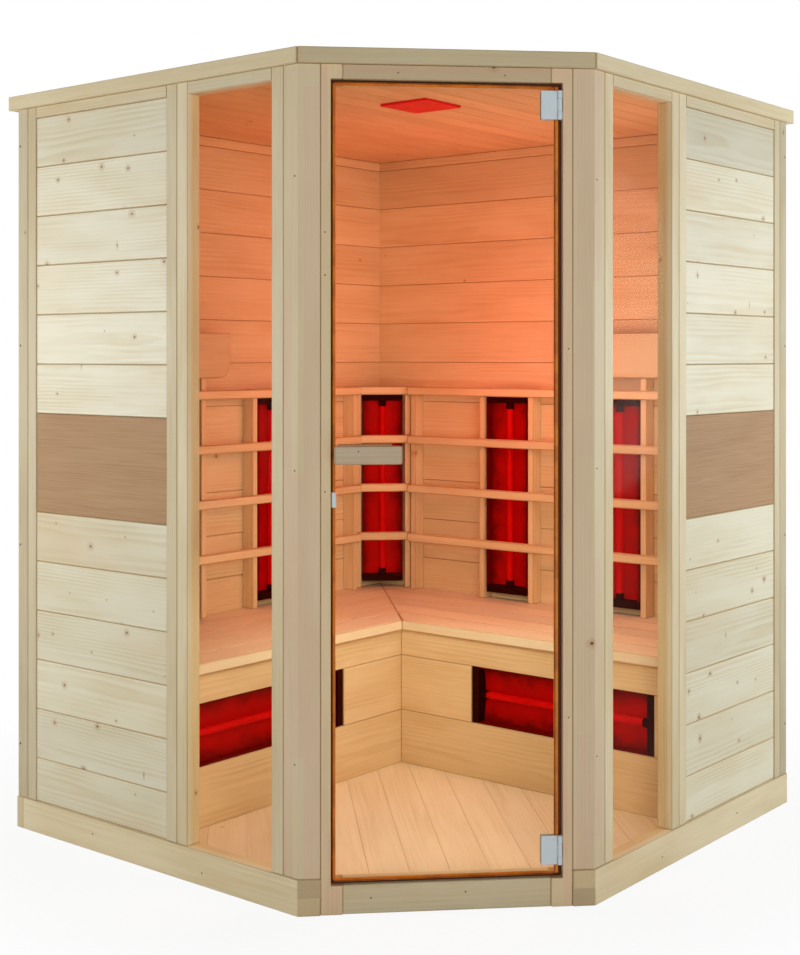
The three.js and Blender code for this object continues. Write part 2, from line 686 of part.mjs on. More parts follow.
// The magnet's place in the latch jamb, grown by a clearance.
function magnetBlock(grow) {
  const middle = GLASS_SET_BACK + GLASS_THICK / 2;
  return block(-OPENING_HALF - MAGNET_DEPTH - grow, -OPENING_HALF - FIT + grow,
    middle - MAGNET_DEPTH / 2 - grow, middle + MAGNET_DEPTH / 2 + grow,
    CATCH_Z - MAGNET_HEIGHT / 2 - grow, CATCH_Z + MAGNET_HEIGHT / 2 + grow);
}

// Jamb, full width behind the head and the threshold and rebated for the door between them.
function doorJamb(side) {
  const board = span(side, JAMB_INNER, JAMB_OUTER, 0, WALL, 0, WALL_TOP);
  const rebate = span(side, JAMB_INNER - OVERCUT, OPENING_HALF, -OVERCUT, REBATE_DEPTH,
    OPENING_BOTTOM, OPENING_TOP);
  const way = span(side, JAMB_INNER - OVERCUT, STOP_HALF, -OVERCUT, WALL + OVERCUT,
    OPENING_BOTTOM + STOP_WIDTH, OPENING_TOP - STOP_WIDTH);
  const tools = side > 0 ? [rebate, way] : [rebate, way, magnetBlock(FIT)];
  return piece(`door_jamb_${sideName(side)}`, cut(board, ...tools), postWood());
}

function doorHead() {
  const section = [[0, OPENING_TOP], [REBATE_DEPTH, OPENING_TOP], [REBATE_DEPTH, OPENING_TOP - STOP_WIDTH],
    [WALL, OPENING_TOP - STOP_WIDTH], [WALL, WALL_TOP], [0, WALL_TOP]];
  return piece('door_head', runAlongX(section, -JAMB_INNER + FIT, JAMB_INNER - FIT), postWood());
}

function doorThreshold() {
  const step = OPENING_BOTTOM + STOP_WIDTH;
  const section = [[THRESHOLD_SET_BACK, 0], [WALL, 0], [WALL, step], [REBATE_DEPTH, step],
    [REBATE_DEPTH, OPENING_BOTTOM], [THRESHOLD_SET_BACK, OPENING_BOTTOM]];
  return piece('door_threshold', runAlongX(section, -JAMB_INNER + FIT, JAMB_INNER - FIT), frameWood());
}

// Brown seal on the front of the stop, all round the door.
function doorSeal() {
  const ring = outline([
    [-OPENING_HALF + FIT, OPENING_BOTTOM + FIT], [OPENING_HALF - FIT, OPENING_BOTTOM + FIT],
    [OPENING_HALF - FIT, OPENING_TOP - FIT], [-OPENING_HALF + FIT, OPENING_TOP - FIT]]);
  const low = OPENING_BOTTOM + STOP_WIDTH;
  const high = OPENING_TOP - STOP_WIDTH;
  ring.holes.push(outline([[-STOP_HALF, low], [-STOP_HALF, high], [STOP_HALF, high], [STOP_HALF, low]]));
  return piece('door_seal', runAlongY(ring, GLASS_BACK + FIT, REBATE_DEPTH - FIT), sealBrown());
}

function catchMagnet() {
  return piece('catch_magnet', magnetBlock(0), magnetGrey());
}

// Hinge leaf on the jamb, with the upper and the lower knuckle.
function hingeLeaf(name, middle) {
  const low = middle - HINGE_HEIGHT / 2;
  const high = middle + HINGE_HEIGHT / 2;
  const gapLow = middle - KNUCKLE_MIDDLE / 2 - KNUCKLE_GAP;
  const gapHigh = middle + KNUCKLE_MIDDLE / 2 + KNUCKLE_GAP;
  const plate = block(OPENING_HALF - LEAF_THICK, OPENING_HALF, BARREL_AXIS_DEPTH, LEAF_DEPTH, low, high);
  const barrel = upright(BARREL_X, BARREL_AXIS_DEPTH, BARREL_RADIUS, low, high);
  const bridge = block(BARREL_X, OPENING_HALF, BARREL_AXIS_DEPTH, BARREL_AXIS_DEPTH + BARREL_RADIUS,
    low, high);
  const bore = upright(BARREL_X, BARREL_AXIS_DEPTH, PIN_RADIUS + PIN_CLEARANCE,
    low - OVERCUT, high + OVERCUT);
  const notch = block(BARREL_X - 2 * BARREL_RADIUS, OPENING_HALF + OVERCUT, -BARREL_RADIUS - OVERCUT,
    BARREL_AXIS_DEPTH + BARREL_RADIUS + KNUCKLE_GAP, gapLow, gapHigh);
  return piece(name, cut(join(plate, barrel, bridge), bore, notch), satinMetal());
}

function hingePin(name, middle) {
  const half = HINGE_HEIGHT / 2 + PIN_STAND_OUT;
  const pin = upright(BARREL_X, BARREL_AXIS_DEPTH, PIN_RADIUS, middle - half, middle + half);
  return piece(name, pin, satinMetal());
}

// Clamp round the door's edge, with the middle knuckle.
function hingeClamp(name, middle) {
  const low = middle - HINGE_HEIGHT / 2;
  const high = middle + HINGE_HEIGHT / 2;
  const left = CLAMP_EDGE - CLAMP_WIDTH;
  const front = GLASS_SET_BACK - FIT - CLAMP_PLATE;
  const back = GLASS_BACK + FIT + CLAMP_BACK_PLATE;
  const around = block(left, CLAMP_EDGE, front, back, low, high);
  const slot = block(left - OVERCUT, GLASS_RIGHT + FIT, GLASS_SET_BACK - FIT, GLASS_BACK + FIT,
    low - OVERCUT, high + OVERCUT);
  const knuckleLow = middle - KNUCKLE_MIDDLE / 2;
  const knuckleHigh = middle + KNUCKLE_MIDDLE / 2;
  const knuckle = upright(BARREL_X, BARREL_AXIS_DEPTH, BARREL_RADIUS, knuckleLow, knuckleHigh);
  const bridge = block(CLAMP_EDGE - OVERCUT, BARREL_X,
    BARREL_AXIS_DEPTH + OVERCUT, BARREL_AXIS_DEPTH + BARREL_RADIUS,
    knuckleLow, knuckleHigh);
  const bore = upright(BARREL_X, BARREL_AXIS_DEPTH, PIN_RADIUS + PIN_CLEARANCE,
    knuckleLow - OVERCUT, knuckleHigh + OVERCUT);
  return piece(name, cut(join(cut(around, slot), knuckle, bridge), bore), satinMetal());
}

function doorGlass() {
  const pane = roundedRectangle(GLASS_LEFT, GLASS_RIGHT, GLASS_BOTTOM, GLASS_TOP, GLASS_CORNER, GLASS_CORNER);
  return piece('door_glass', runAlongY(pane, GLASS_SET_BACK, GLASS_BACK), clearGlass());
}

// Wooden bar on two round feet; its feet stand on the glass at the given depth.
function handle(name, length, footY, barY, barEnd) {
  const half = length / 2;
  const bar = runAlongY(roundedRectangle(HANDLE_X - half, HANDLE_X + half, HANDLE_Z - HANDLE_HEIGHT / 2,
    HANDLE_Z + HANDLE_HEIGHT / 2, HANDLE_ROUND, HANDLE_ROUND),
    Math.min(barY, barEnd), Math.max(barY, barEnd));
  const inBar = barY + Math.sign(barEnd - barY);
  const feet = [-1, 1].map((end) => crosswise(HANDLE_X + (end * HANDLE_FOOT_SPACING) / 2, HANDLE_Z,
    HANDLE_FOOT_RADIUS, Math.min(footY, inBar), Math.max(footY, inBar)));
  return piece(name, join(bar, ...feet), handleWood());
}

function outerHandle() {
  const barY = GLASS_SET_BACK - HANDLE_STAND_OFF;
  return handle('handle_outside', HANDLE_LENGTH, GLASS_SET_BACK - FIT, barY, barY - HANDLE_THICK);
}

function innerHandle() {
  const barY = GLASS_BACK + HANDLE_STAND_OFF;
  return handle('handle_inside', HANDLE_INNER_LENGTH, GLASS_BACK + FIT, barY, barY + HANDLE_THICK);
}

// Steel plate on the glass's free edge that the magnet holds.
function catchPlate() {
  const low = CATCH_Z - CATCH_HEIGHT / 2;
  const high = CATCH_Z + CATCH_HEIGHT / 2;
  const edge = GLASS_LEFT - FIT - CATCH_THICK;
  const front = GLASS_SET_BACK - FIT - CATCH_THICK;
  const flange = block(edge, edge + CATCH_FLANGE, front, front + CATCH_THICK, low, high);
  const web = block(edge, edge + CATCH_THICK, front, GLASS_BACK, low, high);
  return piece('catch_plate', join(flange, web), satinMetal());
}

function doorFrame() {
  const frame = new THREE.Group();
  frame.add(doorJamb(-1), doorJamb(1), doorHead(), doorThreshold(), doorSeal(), catchMagnet());
  frame.add(hingeLeaf('hinge_upper_leaf', HINGE_UPPER_Z), hingeLeaf('hinge_lower_leaf', HINGE_LOWER_Z));
  frame.add(hingePin('hinge_upper_pin', HINGE_UPPER_Z), hingePin('hinge_lower_pin', HINGE_LOWER_Z));
  return frame;
}

function door() {
  const leaf = new THREE.Group();
  leaf.add(doorGlass(), outerHandle(), innerHandle(), catchPlate());
  leaf.add(hingeClamp('hinge_upper_clamp', HINGE_UPPER_Z), hingeClamp('hinge_lower_clamp', HINGE_LOWER_Z));
  return leaf;
}

function roof() {
  const top = new THREE.Group();
  top.add(ceilingPanel(), roofCover(), ceilingLamp(), frontFascia(), sideFascia(-1), sideFascia(1));
  return top;
}

// The origin is under the middle of the whole cabin, from the handle to the roof's back corner.
const cabin = new THREE.Group();
cabin.position.set(0, -(HANDLE_FRONT + ROOF_BACK_Y) / 2, 0);
cabin.add(floorPanel(), sideWall(-1), sideWall(1), backSide(-1), backSide(1));
cabin.add(cornerEmitter(), cornerBackrest(), doorFrame(), door(), roof());

const model = new THREE.Group();
model.add(cabin);

export default model;
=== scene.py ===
"""Looks of the five-sided corner infrared cabin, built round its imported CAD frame.

Every class holds the sizes of its sub-assembly in millimetres, as the CAD source does, and
Place turns them into metres in the frame that the CAD model uses.
"""

import logging
import math
from dataclasses import dataclass, field
from enum import Enum

import bpy
import numpy as np
from numpy.typing import NDArray
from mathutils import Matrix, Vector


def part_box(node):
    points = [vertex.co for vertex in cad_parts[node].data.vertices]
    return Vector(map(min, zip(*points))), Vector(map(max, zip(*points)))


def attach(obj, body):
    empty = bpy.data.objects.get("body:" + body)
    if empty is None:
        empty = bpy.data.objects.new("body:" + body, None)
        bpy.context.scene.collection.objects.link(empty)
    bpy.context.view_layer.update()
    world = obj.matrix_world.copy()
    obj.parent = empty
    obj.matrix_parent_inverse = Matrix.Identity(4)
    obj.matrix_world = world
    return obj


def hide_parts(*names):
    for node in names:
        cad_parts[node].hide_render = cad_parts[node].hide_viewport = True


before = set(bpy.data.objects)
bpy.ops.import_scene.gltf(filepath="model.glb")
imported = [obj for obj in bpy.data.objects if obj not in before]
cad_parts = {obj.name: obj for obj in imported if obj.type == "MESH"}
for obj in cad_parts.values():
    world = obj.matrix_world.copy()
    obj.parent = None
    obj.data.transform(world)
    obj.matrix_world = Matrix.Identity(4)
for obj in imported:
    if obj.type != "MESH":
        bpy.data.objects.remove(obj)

Points = NDArray[np.float64]
Pair = tuple[float, float]
Triple = tuple[float, float, float]
Socket = bpy.types.NodeSocket

LOG = logging.getLogger("cabin")
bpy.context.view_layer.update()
MM = 0.001
ROOT2 = math.sqrt(2.0)
HALF_ROOT = 1.0 / ROOT2
DOOR_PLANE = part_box("door_jamb_left")[0].y
CABIN_BODY = "cabin"
DOOR_BODY = "door"
DICE = np.random.default_rng(2031)


class Axis(Enum):
    """Direction within a place: along its face, inward from it, or up."""

    ALONG = 0
    INWARD = 1
    UP = 2


class Side(Enum):
    """Hand of the cabin as someone facing the door sees it."""

    LEFT = -1
    RIGHT = 1

    @property
    def word(self) -> str:
        """Name of the side in the names of the pieces."""
        return self.name.lower()


@dataclass(frozen=True)
class Place:
    """A corner to build from, with its three directions; sizes in it are millimetres."""

    origin: Triple
    along: Triple
    inward: Triple
    up: Triple = (0.0, 0.0, 1.0)

    @property
    def axes(self) -> Points:
        """The three directions as rows."""
        return np.array([self.along, self.inward, self.up])

    @property
    def mirrored(self) -> bool:
        """True where the directions form a left hand, so faces have to be wound the other way."""
        return bool(np.linalg.det(self.axes) < 0)

    def world(self, local: Points) -> Points:
        """Millimetres in this place to metres in the CAD frame.

        Args:
            local: Points as rows of along, inward and up.

        Returns:
            The same points in the CAD frame: origin + local times directions.
        """
        return (np.array(self.origin) + local @ self.axes) * MM + np.array([0.0, DOOR_PLANE, 0.0])

    def moved(self, along: float = 0.0, inward: float = 0.0, up: float = 0.0) -> "Place":
        """The same directions from a corner that is moved within this place."""
        shift = np.array([along, inward, up]) @ self.axes
        return Place(tuple(np.array(self.origin) + shift), self.along, self.inward, self.up)


@dataclass(frozen=True)
class CabinSizes:
    """Main sizes that several sub-assemblies share."""

    height: float = 1900.0
    side: float = 1460.0
    door_face: float = 660.0
    wall: float = 40.0
    fit: float = 0.3
    base_height: float = 80.0
    base_proud: float = 3.0
    roof_height: float = 36.0
    post_front: float = 50.0
    post_side: float = 44.0
    stile: float = 36.0
    rail: float = 28.0
    plank_pitch: float = 126.5

    @property
    def half_face(self) -> float:
        """Half the door face."""
        return self.door_face / 2

    @property
    def side_wall(self) -> float:
        """Length of a wall beside the door."""
        return self.side - self.door_face / ROOT2

    @property
    def roof_bottom(self) -> float:
        """Height of the underside of the roof."""
        return self.height - self.roof_height

    @property
    def wall_bottom(self) -> float:
        """Height at which the walls start on the base."""
        return self.base_height + self.fit

    @property
    def wall_top(self) -> float:
        """Height at which the walls end under the roof."""
        return self.roof_bottom - self.fit

    @property
    def rail_bottom(self) -> float:
        """Underside of the rails at the top of the walls."""
        return self.wall_top - self.rail

    @property
    def inner_end(self) -> float:
        """Distance from the back corner to the inside of a side wall."""
        return self.side - self.wall - self.fit

    @property
    def inner_corner(self) -> float:
        """Distance from the door face to the inside of the back corner."""
        return (self.side - self.wall) * ROOT2 - self.half_face

    def plank_edges(self) -> Points:
        """Heights of the plank seams, with the base at one end and the rail at the other."""
        count = int((self.rail_bottom - self.wall_bottom) // self.plank_pitch)
        seams = self.rail_bottom - self.plank_pitch * np.arange(count, -1, -1.0)
        return np.concatenate([[self.wall_bottom], seams])

    def corner_plan(self, proud: float, length: float) -> Points:
        """Plan of the wood at a front corner, in a side wall's place.

        Args:
            proud: How far it stands out from the wall's faces.
            length: How far it runs along the side wall.

        Returns:
            Five corners, cut by the door face, the jamb's side and the inside of the wall.
        """
        jamb_line = (self.post_front - self.fit) * ROOT2
        meet = jamb_line / 2
        shift = proud / ROOT2
        return np.array([
            [proud * (1 - ROOT2), -proud], [length, -proud], [length, self.wall],
            [self.wall - jamb_line, self.wall], [-meet - shift, meet - shift]])

    def five_sided(self, front: float, back: float) -> Points:
        """Plan of the cabin in the door's place, moved out from the wall faces.

        Args:
            front: Distance out from the door face and the side walls.
            back: Distance out from the back walls.

        Returns:
            Five corners: front right, right, back, left, front left.
        """
        near = -front
        far = self.side + back
        face = self.door_face / ROOT2 - front * ROOT2
        corners = np.array([
            [face - near, near], [far, near], [far, far], [near, far], [near, face - near]])
        across = (corners[:, 0] - corners[:, 1]) / ROOT2
        deep = corners.sum(axis=1) / ROOT2 - self.half_face
        return np.stack([across, deep], axis=1)

    def door_place(self) -> Place:
        """Place of the door: along to the right, inward from the door face."""
        return Place((0.0, 0.0, 0.0), (1.0, 0.0, 0.0), (0.0, 1.0, 0.0))

    def side_place(self, side: Side) -> Place:
        """Place of a side wall: along from its front corner, inward from its outer face."""
        hand = side.value * HALF_ROOT
        return Place((side.value * self.half_face, 0.0, 0.0),
                     (hand, HALF_ROOT, 0.0), (-hand, HALF_ROOT, 0.0))

    def back_place(self, side: Side) -> Place:
        """Place of a back wall: along from the outer back corner, inward from its outer face."""
        hand = side.value * HALF_ROOT
        return Place((0.0, self.side * ROOT2 - self.half_face, 0.0),
                     (hand, -HALF_ROOT, 0.0), (-hand, -HALF_ROOT, 0.0))


CABIN = CabinSizes()


class Graph:
    """A material's node tree, written from its inputs to its shader."""

    def __init__(self, name: str) -> None:
        """Starts an empty material with that name."""
        self.material = bpy.data.materials.new(name)
        self.material.use_nodes = True
        self.tree = self.material.node_tree
        self.tree.nodes.clear()

    def put(self, socket: Socket, value: object) -> None:
        """Links a socket to another one, or sets it to a plain value."""
        if isinstance(value, bpy.types.NodeSocket):
            self.tree.links.new(value, socket)
        else:
            socket.default_value = value

    def node(self, kind: str, inputs: dict, **settings: object) -> bpy.types.Node:
        """Adds a node.

        Args:
            kind: Its type without the leading ShaderNode.
            inputs: Values or sockets by the input's name or number.
            settings: The node's own settings.

        Returns:
            The node.
        """
        made = self.tree.nodes.new("ShaderNode" + kind)
        for key, value in settings.items():
            setattr(made, key, value)
        for key, value in inputs.items():
            self.put(made.inputs[key], value)
        return made

    def attribute(self, name: str) -> bpy.types.Node:
        """Reads an attribute of the mesh."""
        return self.node("Attribute", {}, attribute_name=name)

    def place(self) -> Socket:
        """Object coordinates, which are those of the CAD frame."""
        return self.node("TexCoord", {}).outputs["Object"]

    def math(self, operation: str, *values: object) -> Socket:
        """One sum on numbers."""
        return self.node("Math", dict(enumerate(values)), operation=operation).outputs[0]

    def vector(self, operation: str, *values: object) -> Socket:
        """One sum on vectors."""
        return self.node("VectorMath", dict(enumerate(values)), operation=operation).outputs[0]

    def stretched(self, vector: Socket, scale: Triple) -> Socket:
        """A vector with each of its parts scaled."""
        return self.vector("MULTIPLY", vector, scale)

    def noise(self, vector: Socket, detail: float = 2.0, colour: bool = False) -> Socket:
        """Soft noise at the scale of the vector, as a number or as three."""
        made = self.node("TexNoise", {"Vector": vector, "Scale": 1.0, "Detail": detail})
        return made.outputs[1 if colour else 0]

    def ramp(self, value: Socket, low: object, high: object, to_low: float = 0.0,
             to_high: float = 1.0) -> Socket:
        """A smooth step of a value between two limits."""
        made = self.node("MapRange", {0: value, 1: low, 2: high, 3: to_low, 4: to_high},
                         interpolation_type="SMOOTHSTEP")
        return made.outputs[0]

    def mix(self, share: object, first: object, second: object) -> Socket:
        """A mix of two colours."""
        return self.node("Mix", {0: share, 6: first, 7: second}, data_type="RGBA").outputs[2]

    def bump(self, height: Socket, depth: float, strength: float = 1.0) -> Socket:
        """A normal bent by a height, at a depth in metres."""
        made = self.node("Bump", {"Height": height, "Distance": depth, "Strength": strength})
        return made.outputs[0]

    def shader(self, **inputs: object) -> Socket:
        """A Principled shader; names of inputs are written with underscores for spaces."""
        named = {key.replace("_", " "): value for key, value in inputs.items()}
        return self.node("BsdfPrincipled", named).outputs[0]

    def done(self, surface: Socket) -> bpy.types.Material:
        """Puts the shader on the material's output."""
        self.node("OutputMaterial", {"Surface": surface})
        return self.material


def linear(code: str) -> tuple[float, float, float, float]:
    """A colour as screens write it, in six hexadecimal digits, to linear light."""
    parts = np.array([int(code[i:i + 2], 16) for i in (0, 2, 4)]) / 255.0
    light = np.where(parts <= 0.04045, parts / 12.92, ((parts + 0.055) / 1.055) ** 2.4)
    return (*light.tolist(), 1.0)


@dataclass(frozen=True)
class Finish:
    """A surface's finish: the name of its material and of the record's slot."""

    name: str
    slot: str

    def make(self) -> bpy.types.Material:
        """Builds the material; each kind of finish has its own."""
        raise NotImplementedError

    def material(self) -> bpy.types.Material:
        """The material, built the first time that a piece asks for it."""
        return bpy.data.materials.get(self.name) or self.make()


@dataclass(frozen=True)
class Wood(Finish):
    """Planed wood, worked out in the board's own directions so that its ends show end grain."""

    pale: str = "e0d6b8"
    dark: str = "c8b48a"
    end: str = "b08a64"
    knot: str = "6b4426"
    # Ochre for the rounded edges at seams and at board ends: painted shade of the grooves between boards.
    seam: str = "8a6c3c"
    seam_share: float = 0.6
    ring_pitch: float = 0.0065
    ring_share: float = 0.35
    fibre_share: float = 0.5
    cloud_share: float = 0.7
    knot_share: float = 0.4
    knot_scatter: Pair = (6.0, 7.5)
    knot_sizes: Pair = (0.008, 0.024)
    streak: str = "b08552"
    streak_share: float = 0.0
    streak_shape: Pair = (38.0, 6.5)
    warm: str = "d8ba88"
    warm_share: float = 0.0
    lamella: Pair = (0.0, 0.0)
    strip_tones: tuple[str, str] = ("d6caa6", "dcc2ae")
    strip_share: float = 0.6
    roughness: float = 0.52
    gloss: float = 0.35

    def knots(self, graph: Graph, grain: Socket) -> tuple[Socket, Socket, Socket]:
        """Small knots at the points of a sparse scatter over the board's face.

        Args:
            graph: The material's nodes.
            grain: Coordinates along, across and through the board.

        Returns:
            The knots' cores, the darker wood round them and soft streaks across the grain, from 0 to 1.
        """
        flat = graph.stretched(grain, (*self.knot_scatter, 0.0))
        scatter = graph.node("TexVoronoi", {"Vector": flat, "Scale": 1.0}, voronoi_dimensions="2D")
        chance = graph.node("SeparateColor", {0: scatter.outputs["Color"]})
        offset = graph.vector("SUBTRACT", flat, scatter.outputs["Position"])
        size = graph.ramp(chance.outputs[1], 0.0, 1.0, *self.knot_sizes)
        near = graph.math("DIVIDE", scatter.outputs["Distance"], size)
        there = graph.math("LESS_THAN", chance.outputs[0], self.knot_share)
        core = graph.math("MULTIPLY", there, graph.ramp(near, 1.25, 0.5))
        around = graph.math("MULTIPLY", there, graph.ramp(near, 4.5, 0.9))
        long = graph.stretched(offset, (*self.streak_shape, 0.0))
        reach = graph.node("VectorMath", {0: long}, operation="LENGTH").outputs["Value"]
        streaked = graph.math("LESS_THAN", chance.outputs[0], self.streak_share)
        return core, around, graph.math("MULTIPLY", streaked, graph.ramp(reach, 1.0, 0.1))

    def strips(self, graph: Graph, grain: Socket) -> Socket:
        """Random shade of each strip of glued wood, which is offset from its neighbour's."""
        width, length = self.lamella
        parts = graph.node("SeparateXYZ", {0: grain})
        across = graph.math("FLOOR", graph.math("DIVIDE", parts.outputs[1], width))
        step = graph.math("MULTIPLY", across, 0.37)
        run = graph.math("ADD", graph.math("DIVIDE", parts.outputs[0], length), step)
        cell = graph.node("CombineXYZ", {0: graph.math("FLOOR", run), 1: across})
        return graph.node("TexWhiteNoise", {"Vector": cell.outputs[0]}, noise_dimensions="2D").outputs[0]

    def make(self) -> bpy.types.Material:
        """Year rings round a pith that lies beside the board, fibres, clouds and knots.

        Returns:
            The material. The ring is the fraction of the distance from the pith over the rings' pitch.
        """
        graph = Graph(self.name)
        grain = graph.attribute("grain").outputs["Vector"]
        tone = graph.attribute("tone").outputs["Fac"]
        cut_end = graph.attribute("end").outputs["Fac"]
        core, around, streak = self.knots(graph, grain)
        wander = graph.noise(graph.stretched(grain, (1.6, 7.0, 7.0)), 3.0, colour=True)
        bent = graph.vector("MULTIPLY_ADD", wander, (0.0, 0.022, 0.022), grain)
        parts = graph.node("SeparateXYZ", {0: bent})
        flat = graph.node("CombineXYZ", {1: parts.outputs[1], 2: parts.outputs[2]})
        reach = graph.node("VectorMath", {0: flat.outputs[0]}, operation="LENGTH").outputs["Value"]
        reach = graph.math("MULTIPLY_ADD", around, 0.006, reach)
        ring = graph.math("FRACT", graph.math("DIVIDE", reach, self.ring_pitch))
        late = graph.math("MULTIPLY", graph.ramp(ring, 0.15, 0.8), graph.ramp(ring, 1.0, 0.88))
        clear = graph.noise(graph.stretched(grain, (3.4, 16.0, 16.0)), 2.0)
        late = graph.math("MULTIPLY", late, graph.ramp(clear, 0.36, 0.66, 0.12, 1.0))
        fibre = graph.noise(graph.stretched(grain, (6.0, 420.0, 420.0)), 2.0)
        cloud = graph.noise(graph.stretched(grain, (2.6, 10.0, 10.0)), 3.0)
        shade = graph.math("MULTIPLY", late, self.ring_share)
        shade = graph.math("MULTIPLY_ADD", graph.ramp(fibre, 0.35, 0.75), self.fibre_share * 0.5, shade)
        shade = graph.math("MULTIPLY_ADD", graph.ramp(cloud, 0.38, 0.7), self.cloud_share * 0.6, shade)
        colour = graph.mix(shade, linear(self.pale), linear(self.dark))
        if self.lamella[0] > 0.0:
            first, second = self.strip_tones
            strip = graph.mix(graph.ramp(self.strips(graph, grain), 0.3, 0.7), linear(first), linear(second))
            colour = graph.mix(self.strip_share, colour, strip)
        colour = graph.vector("SCALE", colour)
        graph.put(colour.node.inputs["Scale"], tone)
        colour = graph.mix(graph.math("MULTIPLY", cut_end, 0.7), colour, linear(self.end))
        if self.streak_share > 0.0:
            colour = graph.mix(graph.math("MULTIPLY", streak, 0.6), colour, linear(self.streak))
        if self.warm_share > 0.0:
            patch = graph.noise(graph.stretched(grain, (1.7, 4.0, 4.0)), 2.0)
            colour = graph.mix(graph.ramp(patch, 0.5, 0.75, 0.0, self.warm_share), colour, linear(self.warm))
        colour = graph.mix(graph.math("MULTIPLY", around, 0.4), colour, linear(self.streak))
        colour = graph.mix(core, colour, linear(self.knot))
        # Painted shade of the seams: ochre on the rounded edges that meet a neighbour and on the rounded ends.
        seam = graph.math("MULTIPLY", graph.attribute("seam").outputs["Fac"],
                          graph.ramp(cloud, 0.2, 0.8, self.seam_share * 0.7, self.seam_share))
        colour = graph.mix(seam, colour, linear(self.seam))
        height = graph.math("SUBTRACT", graph.math("MULTIPLY", fibre, 0.6), graph.math("MULTIPLY", late, 0.4))
        rough = graph.ramp(fibre, 0.2, 0.8, self.roughness - 0.08, self.roughness + 0.12)
        return graph.done(graph.shader(
            Base_Color=colour, Roughness=rough, Specular_IOR_Level=self.gloss,
            Normal=graph.bump(height, 0.0005, 0.35)))


@dataclass(frozen=True)
class Metal(Finish):
    """Satin metal with fine upright brushing."""

    colour: str = "b4c0c6"
    worn: str = "d0d8dc"
    metallic: float = 0.85
    roughness: float = 0.36

    def make(self) -> bpy.types.Material:
        """Brush lines that run up the piece, with slow clouds in tone and gloss."""
        graph = Graph(self.name)
        lines = graph.noise(graph.stretched(graph.place(), (2600.0, 2600.0, 60.0)), 2.0)
        cloud = graph.noise(graph.stretched(graph.place(), (55.0, 55.0, 40.0)), 3.0)
        shade = graph.math("MULTIPLY_ADD", lines, 0.4, graph.math("MULTIPLY", cloud, 0.5))
        return graph.done(graph.shader(
            Base_Color=graph.mix(shade, linear(self.colour), linear(self.worn)), Metallic=self.metallic,
            Roughness=graph.ramp(lines, 0.2, 0.8, self.roughness - 0.07, self.roughness + 0.09),
            Normal=graph.bump(lines, 0.00008, 0.5)))


@dataclass(frozen=True)
class Glass(Finish):
    """Flat glass that lets the inside show, with a warm tint and a mirror at low angles."""

    tint: Triple = (1.0, 0.94, 0.86)
    film: str = "2c1a10"
    haze: float = 0.02

    def make(self) -> bpy.types.Material:
        """Clear where it is seen straight on, a mirror by the fifth power of its lean, and a faint haze."""
        graph = Graph(self.name)
        wipe = graph.noise(graph.stretched(graph.place(), (5.0, 5.0, 2.2)), 3.0)
        lean = graph.node("LayerWeight", {"Blend": 0.5}).outputs["Facing"]
        share = graph.math("ADD", graph.math("POWER", lean, 5.0), graph.ramp(wipe, 0.35, 0.75, 0.0, self.haze))
        clear = graph.node("BsdfTransparent", {"Color": (*self.tint, 1.0)}).outputs[0]
        gloss = graph.shader(Base_Color=linear(self.film), Specular_IOR_Level=0.5,
                             Roughness=graph.ramp(wipe, 0.3, 0.8, 0.02, 0.07))
        return graph.done(graph.node("MixShader", {0: share, 1: clear, 2: gloss}).outputs[0])


@dataclass(frozen=True)
class Moulded(Finish):
    """Moulded or painted surface, with a slow change of tone, fine grain and a glow: light of its own on lamps and
    rods, painted light on the emitters' reflectors, the seal and the glass edges.
    """

    colour: str = "2a2a2c"
    second: str = "38383b"
    roughness: float = 0.5
    gloss: float = 0.5
    grain: float = 900.0
    depth: float = 0.0001
    glow: float = 0.0
    blend: Pair = (0.3, 0.7)

    def make(self) -> bpy.types.Material:
        """Two tones by soft noise and the piece's tone, and a fine pebbled bump; one with a glow gives off its colour,
        which is painted light where the part is no lamp.
        """
        graph = Graph(self.name)
        cloud = graph.noise(graph.stretched(graph.place(), (24.0, 24.0, 24.0)), 4.0)
        fine = graph.noise(graph.stretched(graph.place(), (self.grain,) * 3), 2.0)
        # A low tone moves the mix to the second colour; on the emitters this carries painted glow and shade.
        shade = graph.math("SUBTRACT", 1.0, graph.attribute("tone").outputs["Fac"])
        colour = graph.mix(graph.ramp(graph.math("ADD", cloud, shade), *self.blend), linear(self.colour), linear(self.second))
        inputs = {"Base_Color": colour, "Normal": graph.bump(fine, self.depth, 0.6), "Specular_IOR_Level": self.gloss,
                  "Roughness": graph.ramp(fine, 0.2, 0.8, self.roughness - 0.06, self.roughness + 0.08)}
        if self.glow > 0.0:
            inputs.update(Emission_Color=colour, Emission_Strength=self.glow)
        return graph.done(graph.shader(**inputs))


PLANK_WOOD = Wood("spruce_plank", "plank_wood", pale="e5dfc5", dark="cfbf94", end="cdb893", knot="7a5634",
                  seam="c09648", seam_share=0.7, ring_pitch=0.0085, ring_share=0.45, fibre_share=0.3, cloud_share=0.5,
                  knot_share=0.75, knot_scatter=(7.0, 8.5), knot_sizes=(0.009, 0.03), streak_share=0.2,
                  streak_shape=(34.0, 6.0), warm_share=0.4, gloss=0.5, roughness=0.4)
FRAME_WOOD = Wood("spruce_frame", "frame_wood", pale="dccfae", dark="c6b184", end="b39468", seam="9c7a40",
                  ring_share=0.3, knot_share=0.2, warm_share=0.25)
POST_WOOD = Wood("spruce_post", "post_wood", pale="e0ccad", dark="c6a883", seam="9c7a40", knot_share=0.16,
                 lamella=(0.026, 0.62), strip_tones=("d7c8a1", "d9bfa0"), ring_share=0.3, fibre_share=0.4)
JAMB_WOOD = Wood("spruce_jamb", "post_wood", pale="dec7a3", dark="c3a37a", seam="9c7a40", knot_share=0.16,
                 lamella=(0.026, 0.62), strip_tones=("d4c19a", "d6b898"), ring_share=0.3, fibre_share=0.4)
ROOF_WOOD = Wood("spruce_roof", "roof_wood", pale="d8c9a4", dark="c6b186", seam="a08350", ring_share=0.2,
                 cloud_share=0.4, knot_share=0.16)
